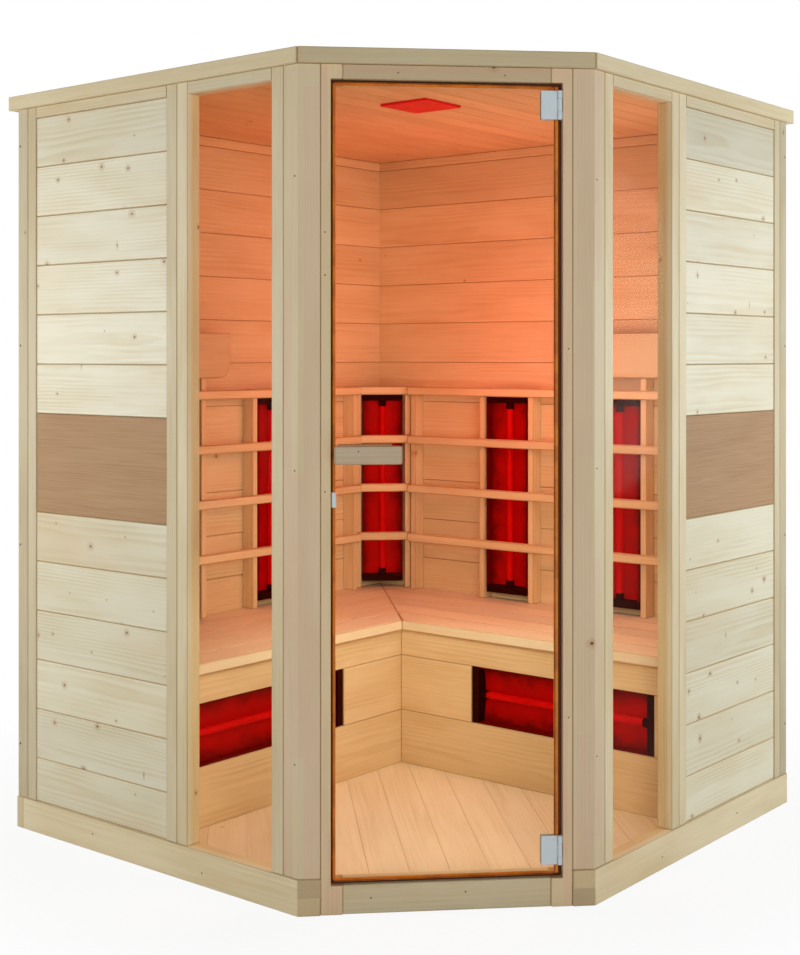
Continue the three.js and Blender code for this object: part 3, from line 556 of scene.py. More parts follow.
ACCENT_WOOD = Wood("brown_accent", "accent_wood", pale="bd9973", dark="a57f5b", end="7a5a3c",
                   ring_pitch=0.0034, ring_share=0.4, fibre_share=0.9, cloud_share=0.25, knot_share=0.0, gloss=0.12)
INNER_WOOD = Wood("inner_spruce", "inner_wood", pale="e8cda6", dark="d0a97a", end="b5804f", knot="8a5530",
                  seam="a8743c", ring_share=0.3, knot_share=0.12, cloud_share=0.55, gloss=0.1)
BENCH_WOOD = Wood("bench_spruce", "inner_wood", pale="f0dfc4", dark="e0c69f", end="c09468", knot="8a5530",
                  seam="b8885a", ring_share=0.3, knot_share=0.08, cloud_share=0.5, gloss=0.1)
# Ceiling wood as a more orange copy of the inner wood: painted red light of the lamp inside.
CEILING_RED_LIT_WOOD = Wood("ceiling_spruce_painted_red", "inner_wood", pale="e6c298", dark="cf9f6e", end="d2b084", knot="8a5530",
                    seam="a06a34", ring_share=0.3, knot_share=0.1, cloud_share=0.5, gloss=0.1)
HANDLE_WOOD = Wood("handle_spruce", "handle_wood", pale="c9b69c", dark="b39d80", ring_share=0.25, knot_share=0.0,
                   roughness=0.42)
HINGE_METAL = Metal("satin_hinge", "hinge_metal", colour="c0ccd1", worn="d2dbdf", metallic=0.25, roughness=0.4)
SCREW_METAL = Metal("dark_screw", "frame_wood", colour="4a4440", worn="6a625a", roughness=0.45)
MAGNET_GREY = Moulded("magnet_grey", "magnet", colour="55585c", second="45484c")
WINDOW_GLASS = Glass("clear_window", "window_glass")
DOOR_GLASS = Glass("clear_door", "door_glass")
# Ground glass edges in amber, the tint of the glass seen through its edge, with a faint glow though they are no lamp:
# painted light of the red inside.
GLASS_EDGE = Moulded("amber_glass_edge", "door_glass", colour="a8601c", second="7a3c08", roughness=0.2,
                     grain=300.0, glow=0.05)
# Black strip of the seal where the gap shows: painted shade of the gap between glass and jamb. Both strips glow though
# they are no lamp: painted light of the red inside.
SEAL_GAP_SHADE = Moulded("seal_painted_gap_shade", "seal", colour="3a1606", second="461c08", roughness=0.7,
                     glow=0.12)
SEAL_AMBER = Moulded("seal_lip", "seal", colour="cc7a20", second="ac6016", roughness=0.45, glow=0.16)
EMITTER_CASE = Moulded("emitter_case", "emitter", colour="300302", second="260302", roughness=0.6, gloss=0.05)
# The reflector glows though it is no lamp: painted light of the rod, which the piece's tone makes brighter in the
# middle.
EMITTER_RED = Moulded("emitter_reflector", "emitter", colour="990302", second="560201", roughness=0.4, gloss=0.05,
                      grain=140.0, depth=0.0006, glow=0.4, blend=(0.1, 0.9))
EMITTER_ROD = Moulded("emitter_rod", "emitter", colour="bc0605", second="b00403", roughness=0.4, gloss=0.05, glow=0.35)
LAMP_RED = Moulded("lamp_cover", "lamp", colour="c21518", second="b41114", roughness=0.4, gloss=0.1, grain=400.0,
                   glow=0.45)
UNIT_BLACK = Moulded("control_case", "control", colour="2a2a2c", second="343437")
UNIT_FACE = Moulded("control_face", "control", colour="0c0e12", second="14171c", roughness=0.16, grain=200.0)


@dataclass(frozen=True)
class Shell:
    """A closed surface on a grid: rows along its axis, columns round its outline."""

    points: Points
    normals: Points
    # Weight of the painted seam shade at each point, from 0 to 1.
    edge: Points
    capped: bool = True


ARC_STEPS = 3
# 1 in the middle of a rounded arc, where the painted shade of a seam goes.
ARC_SEAM_SHADE = np.array([0.0, 1.0, 1.0, 0.0])


def fillet(corners: Points, radius: float | Points) -> tuple[Points, Points]:
    """Closed outline with every corner rounded.

    With u and v the directions from a corner to its neighbours and a the angle between them, the arc's
    centre lies radius / sin(a / 2) along their bisector, and the arc swings from one side's normal to the other's.

    Args:
        corners: Corners, anticlockwise.
        radius: One radius, or one for each corner; a short side makes it smaller.

    Returns:
        Points of the outline and its outward normals.
    """
    back = np.roll(corners, 1, axis=0) - corners
    ahead = np.roll(corners, -1, axis=0) - corners
    back_length = np.linalg.norm(back, axis=1, keepdims=True)
    ahead_length = np.linalg.norm(ahead, axis=1, keepdims=True)
    u = back / back_length
    v = ahead / ahead_length
    half = np.arccos(np.clip((u * v).sum(axis=1, keepdims=True), -1, 1)) / 2
    wanted = np.reshape(np.broadcast_to(radius, (len(corners),)), (-1, 1))
    reach = np.minimum(wanted / np.tan(half), 0.49 * np.minimum(back_length, ahead_length))
    real = reach * np.tan(half)
    bisector = (u + v) / np.linalg.norm(u + v, axis=1, keepdims=True)
    centre = corners + bisector * real / np.sin(half)
    first = (corners + u * reach - centre) / real
    last = (corners + v * reach - centre) / real
    swing = (math.pi - 2 * half)[:, None, :]
    part = np.linspace(0, 1, ARC_STEPS + 1)[None, :, None]
    arc = (np.sin((1 - part) * swing) * first[:, None, :] + np.sin(part * swing) * last[:, None, :]) / np.sin(swing)
    outline = centre[:, None, :] + real[:, None, :] * arc
    outward = np.where(u[:, 0] * v[:, 1] - u[:, 1] * v[:, 0] < 0, 1.0, -1.0)[:, None, None]
    return outline.reshape(-1, 2), (arc * outward).reshape(-1, 2)


def carry(outline: Points, normals: Points, seam_shade: Points, axis: Axis, low: float, high: float, edge: float,
          rise: float | None = None) -> Shell:
    """Outline carried along an axis, with its two ends rounded.

    point = outline - inset * normal + axis * height, where inset = edge * (1 - sin t) and
    height = rise * (1 - cos t) from each end, for t from 0 to a quarter turn.

    Args:
        outline: Closed outline in the two directions that follow the axis.
        normals: Its outward normals.
        seam_shade: 1 where the outline turns a corner whose edge shows as a seam, which gets painted shade of the seam,
            else 0.
        axis: Direction that it is carried in.
        low: Where it starts.
        high: Where it ends.
        edge: How far the ends draw in.
        rise: Over what height they do so, which is edge unless given.

    Returns:
        The shell.
    """
    lift = edge if rise is None else rise
    turn = np.linspace(0, math.pi / 2, ARC_STEPS + 1)
    inset = edge * (1 - np.sin(turn))
    height = lift * (1 - np.cos(turn))
    tilt = np.hypot(lift * np.sin(turn), edge * np.cos(turn))
    side_part = lift * np.sin(turn) / tilt
    axis_part = -edge * np.cos(turn) / tilt
    inset = np.concatenate([inset, inset[::-1]])[:, None, None]
    height = np.concatenate([low + height, (high - height)[::-1]])[:, None]
    side_part = np.concatenate([side_part, side_part[::-1]])[:, None, None]
    axis_part = np.concatenate([axis_part, -axis_part[::-1]])[:, None]
    flat = outline[None] - inset * normals[None]
    flat_normal = side_part * normals[None]
    points = np.empty((*flat.shape[:2], 3))
    bent = np.empty_like(points)
    first, second = (axis.value + 1) % 3, (axis.value + 2) % 3
    points[..., [first, second]] = flat
    points[..., axis.value] = height
    bent[..., [first, second]] = flat_normal
    bent[..., axis.value] = axis_part
    ends = np.concatenate([ARC_SEAM_SHADE, ARC_SEAM_SHADE])[:, None]
    sides = np.concatenate([turn, turn[::-1]])[:, None] > 0
    return Shell(points, bent, np.maximum(ends, sides * seam_shade[None, :]))


def prism(corners: Points, axis: Axis, low: float, high: float, edge: float = 1.5,
          radius: float | Points | None = None, seams: float | Points = 1.0) -> Shell:
    """A polygon carried along an axis with all its edges rounded.

    Args:
        corners: Corners as (along, inward) for UP, (inward, up) for ALONG and (along, up) for INWARD.
        axis: Direction that it is carried in.
        low: Where it starts.
        high: Where it ends.
        edge: Rounding of the two ends.
        radius: Rounding of the corners, a little more than edge unless given.
        seams: 1 where a corner lies in a seam, which gets painted shade, and 0 where it is free, for all corners or for
            each.

    Returns:
        The shell.
    """
    flat = np.asarray(corners, float)
    rounding = np.broadcast_to(edge * 1.3 if radius is None else radius, (len(flat),))
    seam = np.broadcast_to(seams, (len(flat),))
    if axis is Axis.INWARD:
        flat = flat[:, ::-1]
    ahead = np.roll(flat, -1, axis=0)
    if (flat[:, 0] * ahead[:, 1] - flat[:, 1] * ahead[:, 0]).sum() < 0:
        flat, rounding, seam = flat[::-1], rounding[::-1], seam[::-1]
    seam_shade = (seam[:, None] * ARC_SEAM_SHADE[None, :]).ravel()
    return carry(*fillet(flat, rounding), seam_shade, axis, low, high, edge)


def board(along: Pair, inward: Pair, up: Pair, axis: Axis, edge: float = 1.5) -> Shell:
    """A rectangular board with its edges rounded, carried along one of its directions.

    Args:
        along: Where it starts and ends along the place.
        inward: The same inward.
        up: The same upward.
        axis: Direction of its length.
        edge: Rounding of all edges.

    Returns:
        The shell.
    """
    ranges = [along, inward, up]
    low, high = sorted(ranges.pop(axis.value))
    (a, b), (c, d) = ranges
    return prism(np.array([[a, c], [b, c], [b, d], [a, d]]), axis, low, high, edge)


def circle(centre: Pair, radius: float, parts: int) -> tuple[Points, Points]:
    """Points and outward normals of a circle: centre + radius * (cos t, sin t)."""
    turn = np.linspace(0, 2 * math.pi, parts, endpoint=False)
    normals = np.stack([np.cos(turn), np.sin(turn)], axis=1)
    return np.array(centre) + radius * normals, normals


def rod(centre: Pair, radius: float, axis: Axis, low: float, high: float, edge: float = 0.6,
        rise: float | None = None, parts: int = 28) -> Shell:
    """A round bar with rounded ends.

    Args:
        centre: Its middle, in the two directions that follow the axis.
        radius: Its radius.
        axis: Direction of its length.
        low: Where it starts.
        high: Where it ends.
        edge: How far its ends draw in.
        rise: Over what height they do so, which is edge unless given.
        parts: Parts round it.

    Returns:
        The shell.
    """
    return carry(*circle(centre, radius, parts), np.zeros(parts), axis, low, high, edge, rise)


def tube(centre: Pair, inner: float, outer: float, low: float, high: float, edge: float = 0.5,
         parts: int = 32) -> Shell:
    """An upright ring: a rounded rectangle of radius and height, turned about its axis.

    point = centre + radius * (cos t, sin t) + up * height, for each point of the rectangle.

    Args:
        centre: Place of the axis, along and inward.
        inner: Radius of the bore.
        outer: Radius of the outside.
        low: Where it starts.
        high: Where it ends.
        edge: Rounding of its edges.
        parts: Parts round it.

    Returns:
        The shell, closed both ways.
    """
    section = np.array([[inner, low], [outer, low], [outer, high], [inner, high]])
    profile, normals = fillet(section, edge)
    spokes = circle((0.0, 0.0), 1.0, parts)[0]
    points = np.concatenate([profile[None, :, :1] * spokes[:, None] + np.array(centre),
                             np.broadcast_to(profile[None, :, 1:], (parts, len(profile), 1))], axis=2)
    bent = np.concatenate([normals[None, :, :1] * spokes[:, None],
                           np.broadcast_to(normals[None, :, 1:], (parts, len(profile), 1))], axis=2)
    return Shell(points[::-1], bent[::-1], np.zeros(points.shape[:2]), capped=False)


def clip(polygon: Points, normal: Pair, limit: float) -> Points:
    """The part of a convex polygon where normal . point is at most a limit."""
    ahead = np.roll(polygon, -1, axis=0)
    here = polygon @ np.array(normal) - limit
    there = ahead @ np.array(normal) - limit
    crosses = (here > 0) != (there > 0)
    share = np.where(crosses, here / np.where(crosses, here - there, 1.0), 0.0)[:, None]
    both = np.stack([polygon, polygon + share * (ahead - polygon)], axis=1)
    keep = np.stack([here <= 0, crosses], axis=1)
    return both[keep]


class Piece:
    """One object of the cabin, put together from shells in one place."""

    def __init__(self, name: str, place: Place) -> None:
        """Starts an empty piece.

        Args:
            name: The object's name.
            place: Where its shells are measured from.
        """
        self.name = name
        self.place = place
        self.points: list[Points] = []
        self.normals: list[Points] = []
        self.grain: list[Points] = []
        self.tone: list[Points] = []
        self.seam: list[Points] = []
        self.axes: list[Points] = []
        self.faces: list[list[int]] = []
        self.finishes: list[Finish] = []
        self.indices: list[int] = []
        self.total = 0

    def finish_index(self, finish: Finish) -> int:
        """Number of a finish among the piece's own."""
        if finish not in self.finishes:
            self.finishes.append(finish)
        return self.finishes.index(finish)

    def add(self, shell: Shell, finish: Finish, grain: Axis = Axis.UP, caps: Finish | None = None,
            tone: float | Points = 1.0, spread: float = 0.03) -> None:
        """Adds a shell as one board.

        Args:
            shell: The surface.
            finish: What it is made of.
            grain: Direction of the wood's grain.
            caps: Another finish for its two ends.
            tone: How light it is beside others of its finish, as a whole or at each point.
            spread: How much its tone may differ from its neighbours'.
        """
        rows, columns = shell.points.shape[:2]
        numbers = self.total + np.arange(rows * columns).reshape(rows, columns)
        ahead = np.roll(numbers, -1, axis=1)
        if shell.capped:
            quads = np.stack([numbers[:-1], ahead[:-1], ahead[1:], numbers[1:]], axis=-1)
        else:
            above, beside = np.roll(numbers, -1, axis=0), np.roll(ahead, -1, axis=0)
            quads = np.stack([numbers, ahead, beside, above], axis=-1)
        faces = quads.reshape(-1, 4).tolist()
        side_count = len(faces)
        if shell.capped:
            faces += [numbers[0, ::-1].tolist(), numbers[-1].tolist()]
        if self.place.mirrored:
            faces = [face[::-1] for face in faces]
        self.faces += faces
        self.indices += [self.finish_index(finish)] * side_count
        self.indices += [self.finish_index(caps or finish)] * (len(faces) - side_count)
        local = shell.points.reshape(-1, 3)
        self.points.append(self.place.world(local))
        self.normals.append(shell.normals.reshape(-1, 3) @ self.place.axes)
        self.grain.append(self.board_grain(local, grain))
        self.tone.append(np.full(len(local), tone + DICE.normal(0.0, spread)))
        self.seam.append(shell.edge.ravel())
        self.axes.append(np.tile(self.place.axes[grain.value], (len(faces), 1)))
        self.total += len(local)

    @staticmethod
    def board_grain(local: Points, grain: Axis) -> Points:
        """Coordinates along, across and through a board, measured from its pith, in metres.

        Args:
            local: The board's points.
            grain: Direction of its length.

        Returns:
            One row for each point; the pith lies at 0, 0 across and through.
        """
        extent = np.ptp(local, axis=0)
        others = [i for i in range(3) if i != grain.value]
        others.sort(key=lambda i: -extent[i])
        middle = (local.max(axis=0) + local.min(axis=0)) / 2
        order = [grain.value, *others]
        drawn = DICE.uniform((0.0, -0.07, 0.02), (40.0, 0.07, 0.09))
        return (local - middle)[:, order] * MM + drawn

    def build(self, body: str, slot: Finish, *nodes: str) -> bpy.types.Object:
        """Puts the shells into a mesh object that stands for CAD nodes.

        Args:
            body: CAD body that it moves with.
            slot: Finish whose slot in the record the piece would take; not used.
            nodes: CAD nodes that it replaces.

        Returns:
            The object.
        """
        mesh = bpy.data.meshes.new(self.name)
        mesh.from_pydata(np.concatenate(self.points).tolist(), [], self.faces)
        for finish in self.finishes:
            mesh.materials.append(finish.material())
        mesh.polygons.foreach_set("material_index", self.indices)
        mesh.polygons.foreach_set("use_smooth", [True] * len(self.faces))
        lean = np.empty(len(self.faces) * 3)
        mesh.polygons.foreach_get("normal", lean)
        ends = np.abs((lean.reshape(-1, 3) * np.concatenate(self.axes)).sum(axis=1))
        mesh.attributes.new("grain", "FLOAT_VECTOR", "POINT").data.foreach_set(
            "vector", np.concatenate(self.grain).ravel())
        mesh.attributes.new("tone", "FLOAT", "POINT").data.foreach_set("value", np.concatenate(self.tone))
        mesh.attributes.new("seam", "FLOAT", "POINT").data.foreach_set("value", np.concatenate(self.seam))
        mesh.attributes.new("end", "FLOAT", "FACE").data.foreach_set("value", ends)
        mesh.normals_split_custom_set_from_vertices(np.concatenate(self.normals))
        made = bpy.data.objects.new(self.name, mesh)
        bpy.context.scene.collection.objects.link(made)
        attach(made, body)
        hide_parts(*nodes)
        LOG.info("%s: %d faces for %s", self.name, len(self.faces), ", ".join(nodes))
        return made


def screw(piece: Piece, at: Pair, face: float, radius: float = 3.2, finish: Finish = SCREW_METAL) -> None:
    """Puts a low domed screw head on a face that looks outward.

    Args:
        piece: Piece that carries it.
        at: Its middle, along and up.
        face: Inward distance of the face.
        radius: Radius of the head.
        finish: What it is made of.
    """
    piece.add(rod((at[1], at[0]), radius, Axis.INWARD, face - 0.5, face + 1.0, radius * 0.7, 0.5, 16), finish)


@dataclass
class Base:
    """Base beams and the floor."""

    floor_height: float = 60.0
    floor_board: float = 20.0
    floor_pitch: float = 92.0
    joist_width: float = 50.0
    joist_count: int = 4
    joist_spread: float = 0.9
    rounding: float = 2.2
    lap_proud: float = 0.25
    lap_depth: float = 6.0
    back_lap: float = 26.0

    def side_beam(self, side: Side) -> None:
        """Beam under a side wall, with its cut end beside the door."""
        name = f"base_beam_{side.word}"
        piece = Piece(f"{name}_wood", CABIN.side_place(side))
        plan = CABIN.corner_plan(CABIN.base_proud, CABIN.side_wall)
        piece.add(prism(plan, Axis.UP, 0, CABIN.base_height, self.rounding, seams=np.array([0, 0, 1, 1, 1])),
                  FRAME_WOOD, Axis.ALONG, tone=1.2, spread=0.0)
        self.lap_end(piece, side)
        if side is Side.LEFT:
            ends = (CABIN.side_wall - self.back_lap, CABIN.side_wall - self.lap_proud)
            piece.add(board(ends, (-CABIN.base_proud - self.lap_proud, self.lap_depth), (1, CABIN.base_height - 1),
                            Axis.UP, 0.3), FRAME_WOOD, Axis.UP, tone=1.1, spread=0.0)
        screw(piece, (300, 30), -CABIN.base_proud, 2.2)
        screw(piece, (690, 42), -CABIN.base_proud, 2.2)
        piece.build(CABIN_BODY, FRAME_WOOD, name)

    def lap_end(self, piece: Piece, side: Side) -> None:
        """End of the lapped cross member, in the upper half at the left and the lower half at the right.

        Args:
            piece: The beam, whose corner the lap lies in.
            side: Side of the beam.
        """
        face = CABIN.corner_plan(CABIN.base_proud + self.lap_proud, CABIN.side_wall)
        back = CABIN.corner_plan(CABIN.base_proud - self.lap_depth, CABIN.side_wall)
        plan = np.array([face[0], back[0], back[4], face[4]])
        middle = CABIN.base_height / 2
        low, high = (middle, CABIN.base_height - 1) if side is Side.LEFT else (1, middle)
        piece.add(prism(plan, Axis.UP, low, high, 0.3), FRAME_WOOD, Axis.ALONG, tone=0.84, spread=0.0)

    def back_beam(self, side: Side) -> None:
        """Beam under a back wall."""
        name = f"base_beam_back_{side.word}"
        near = 0.0 if side is Side.RIGHT else CABIN.wall + CABIN.fit
        piece = Piece(f"{name}_wood", CABIN.back_place(side))
        piece.add(board((near, CABIN.inner_end), (0, CABIN.wall), (0, CABIN.base_height), Axis.ALONG,
                        self.rounding), FRAME_WOOD, Axis.ALONG)
        piece.build(CABIN_BODY, FRAME_WOOD, name)

    def floor(self) -> None:
        """Floor boards that run from the door to the back, on joists."""
        inset = -CABIN.wall - CABIN.fit
        plan = CABIN.five_sided(inset, inset)
        piece = Piece("floor_boards", CABIN.door_place())
        reach = plan[0, 0]
        edges = np.arange(-reach * 2, reach * 2 + 2 * self.floor_pitch, self.floor_pitch)
        edges[0], edges[-1] = -CABIN.side, CABIN.side
        low, high = self.floor_height - self.floor_board, self.floor_height
        for left, right in zip(edges[:-1], edges[1:]):
            strip = clip(clip(plan, (-1, 0), -left), (1, 0), right - 0.3)
            piece.add(prism(strip, Axis.UP, low, high, 0.6), BENCH_WOOD, Axis.INWARD, spread=0.015)
        start = plan[0, 1] + self.joist_width
        end = CABIN.inner_corner - reach - 2 * self.joist_width
        for x in reach * np.linspace(-1, 1, self.joist_count) * self.joist_spread:
            piece.add(board((x - self.joist_width / 2, x + self.joist_width / 2), (start, end), (0, low),
                            Axis.INWARD), BENCH_WOOD, Axis.INWARD)
        piece.build(CABIN_BODY, BENCH_WOOD, "floor_panel")

    def build(self) -> None:
        """Builds the beams and the floor."""
        for side in Side:
            self.side_beam(side)
            self.back_beam(side)
        self.floor()


@dataclass
class SideWall:
    """Wall beside the door: posts, window, planks and the brown board."""

    side: Side
    window_light: float = 272.0
    rear_post: float = 74.0
    rear_seam: float = 40.0
    joint: float = 0.5
    plank_recess: float = 3.0
    plank_thick: float = 32.0
    plank_chamfer: float = 2.2
    plank_gap: float = 0.5
    planks_above: int = 6
    accent_pitches: int = 2
    accent_thick: float = 8.0
    pane_thick: float = 6.0
    pane_set_back: float = 12.0
    pane_groove: float = 8.0
    screw_pitch: float = 517.0
    screw_low: float = 217.0
    place: Place = field(init=False)
    # Painted light and shade of the boards, by side.
    mid_painted_light: Pair = field(init=False)
    rear_painted_shade: Pair = field(init=False)
    top_painted_shade: float = field(init=False)
    accent_painted_shade: float = field(init=False)

    def __post_init__(self) -> None:
        """Takes the wall's place from its side, and the tones that paint light and shade on its boards: lighter window
        stile and mid post, darker rear post and top plank, each most on the right, and a darker accent board on the
        right.
        """
        self.place = CABIN.side_place(self.side)
        right = self.side is Side.RIGHT
        self.mid_painted_light = (1.08, 1.1) if right else (1.04, 1.0)
        self.rear_painted_shade = (0.9, 0.76) if right else (0.91, 0.87)
        self.top_painted_shade = 0.86 if right else 0.98
        self.accent_painted_shade = 0.94 if right else 1.0

    @property
    def light_start(self) -> float:
        """Where the window's light starts."""
        return CABIN.post_side + CABIN.fit + CABIN.stile

    @property
    def light_end(self) -> float:
        """Where the window's light ends."""
        return self.light_start + self.window_light

    @property
    def planks(self) -> Pair:
        """Where the planks start and end."""
        start = self.light_end + 2 * CABIN.stile + CABIN.fit
        return start, CABIN.side_wall - self.rear_post - CABIN.fit

    def piece(self, name: str) -> Piece:
        """An empty piece of this wall."""
        return Piece(f"{name}_{self.side.word}_wood", self.place)

    def upright(self, name: str, edges: tuple[float, ...], tones: tuple[float, ...]) -> Piece:
        """Boards side by side from the base to the roof.

        Args:
            name: Name of the post that they form.
            edges: Where the boards start, and where the last one ends.
            tones: How light each of them is.

        Returns:
            The piece, not yet built.
        """
        piece = self.piece(name)
        for start, end, tone in zip(edges[:-1], edges[1:], tones):
            last = end == edges[-1]
            piece.add(board((start, end if last else end - self.joint), (0, CABIN.wall),
                            (CABIN.wall_bottom, CABIN.wall_top), Axis.UP, 1.6), FRAME_WOOD, Axis.UP, tone=tone)
        return piece

    def finish_piece(self, piece: Piece, name: str, finish: Finish = FRAME_WOOD) -> None:
        """Builds a piece in place of this side's node."""
        piece.build(CABIN_BODY, finish, f"{name}_{self.side.word}")

    def corner_post(self) -> None:
        """Five-sided post between the wall and the door jamb."""
        piece = self.piece("corner_post")
        plan = CABIN.corner_plan(0.0, CABIN.post_side)
        seams = np.array([0, 1, 1, 1, 1])
        piece.add(prism(plan, Axis.UP, CABIN.wall_bottom, CABIN.wall_top, 1.6, 2.6, seams), POST_WOOD, Axis.UP)
        for height in (1618.0, 973.0, 330.0):
            screw(piece, (10.0, height), 0.0, 2.2)
        self.finish_piece(piece, "corner_post", POST_WOOD)

    def posts(self) -> None:
        """Window stile, double mid post and double rear post."""
        start = CABIN.post_side + CABIN.fit
        self.finish_piece(self.upright("window_stile", (start, self.light_start), self.mid_painted_light), "window_stile")
        middle = self.light_end + CABIN.stile
        piece = self.upright("mid_post", (self.light_end, middle, middle + CABIN.stile), self.mid_painted_light)
        self.finish_piece(piece, "mid_post")
        rear = CABIN.side_wall - self.rear_post
        piece = self.upright("rear_post", (rear, CABIN.side_wall - self.rear_seam, CABIN.side_wall), self.rear_painted_shade)
        for step in range(4):
            screw(piece, (CABIN.side_wall - 9.0, self.screw_low + step * self.screw_pitch), 0.0)
        self.finish_piece(piece, "rear_post")

    def window(self) -> None:
        """Rail over the window, and the pane in its grooves."""
        rail = self.piece("window_rail")
        ends = (self.light_start + CABIN.fit, self.light_end - CABIN.fit)
        rail.add(board(ends, (0, CABIN.wall), (CABIN.rail_bottom, CABIN.wall_top), Axis.ALONG),
                 FRAME_WOOD, Axis.ALONG)
        self.finish_piece(rail, "window_rail")
        reach = self.pane_groove - CABIN.fit
        left, right = self.light_start - reach, self.light_end + reach
        low, high = CABIN.base_height - reach, CABIN.rail_bottom + reach
        corners = np.array([[left, low], [right, low], [right, high], [left, high]])
        pane = Piece(f"window_pane_{self.side.word}_glass", self.place)
        pane.add(prism(corners, Axis.INWARD, self.pane_set_back, self.pane_set_back + self.pane_thick, 0.8),
                 GLASS_EDGE, caps=WINDOW_GLASS)
        self.finish_piece(pane, "window_pane", WINDOW_GLASS)

    def plank(self, front: float, back: float, low: float, high: float) -> Shell:
        """A plank with its long edges chamfered on both faces.

        Args:
            front: Inward distance of its front.
            back: Inward distance of its back.
            low: Its lower seam.
            high: Its upper seam.

        Returns:
            The shell, along the wall.
        """
        return plank_shell(self.planks, (front, back), (low, high), self.plank_chamfer, self.plank_gap)

    def plank_wall(self) -> None:
        """Rail and planks, with thinner planks behind the brown board and tongues in the seams."""
        piece = self.piece("plank_wall")
        back = self.plank_recess + self.plank_thick
        piece.add(board(self.planks, (0, back), (CABIN.rail_bottom, CABIN.wall_top), Axis.ALONG),
                  FRAME_WOOD, Axis.ALONG)
        edges = CABIN.plank_edges()
        high_row = len(edges) - 1 - self.planks_above
        for row, (low, high) in enumerate(zip(edges[:-1], edges[1:])):
            covered = high_row - self.accent_pitches <= row < high_row
            front = self.plank_recess + (self.accent_thick + CABIN.fit if covered else 0.0)
            # The top plank under the rail is darker: painted shade.
            tone = self.top_painted_shade if high == edges[-1] else 1.0
            piece.add(self.plank(front, back, low, high), PLANK_WOOD, Axis.ALONG, tone=tone, spread=0.03)
        tongue = self.plank_recess + self.accent_thick + 2 * self.plank_chamfer
        for seam in edges[1:-1]:
            piece.add(board((self.planks[0] + 2, self.planks[1] - 2), (tongue - self.accent_thick, tongue + 4),
                            (seam - 0.24, seam + 0.24), Axis.ALONG, 0.1), PLANK_WOOD, Axis.ALONG)
        self.finish_piece(piece, "plank_wall", PLANK_WOOD)
        accent = self.piece("accent_board")
        accent.add(board(self.planks, (self.plank_recess, self.plank_recess + self.accent_thick),
                         (edges[high_row - self.accent_pitches] + CABIN.fit, edges[high_row] - CABIN.fit),
                         Axis.ALONG, 1.2), ACCENT_WOOD, Axis.ALONG, tone=self.accent_painted_shade, spread=0.0)
        self.finish_piece(accent, "accent_board", ACCENT_WOOD)

    def build(self) -> None:
        """Builds the wall's pieces."""
        self.corner_post()
        self.posts()
        self.window()
        self.plank_wall()


def plank_shell(along: Pair, depth: Pair, heights: Pair, chamfer: float, gap: float) -> Shell:
    """A plank whose long edges are chamfered on both faces, carried along the wall.

    Args:
        along: Where it starts and ends.
        depth: Its front and back.
        heights: Its lower and upper seam.
        chamfer: Width of the chamfers.
        gap: Gap in each seam.

    Returns:
        The shell.
    """
    front, back = depth
    low, high = heights[0] + gap / 2, heights[1] - gap / 2
    section = np.array([
        [front + chamfer, low], [back - chamfer, low], [back, low + chamfer], [back, high - chamfer],
        [back - chamfer, high], [front + chamfer, high], [front, high - chamfer], [front, low + chamfer]])
    outline, normals = fillet(section, 0.9)
    # The chamfers get the painted shade of the seam, in full where they sink two thirds of their width.
    sunk = np.minimum(outline[:, 0] - front, back - outline[:, 0])
    return carry(outline, normals, np.clip(1.5 * sunk / chamfer, 0, 1), Axis.ALONG, along[0], along[1], 0.7)


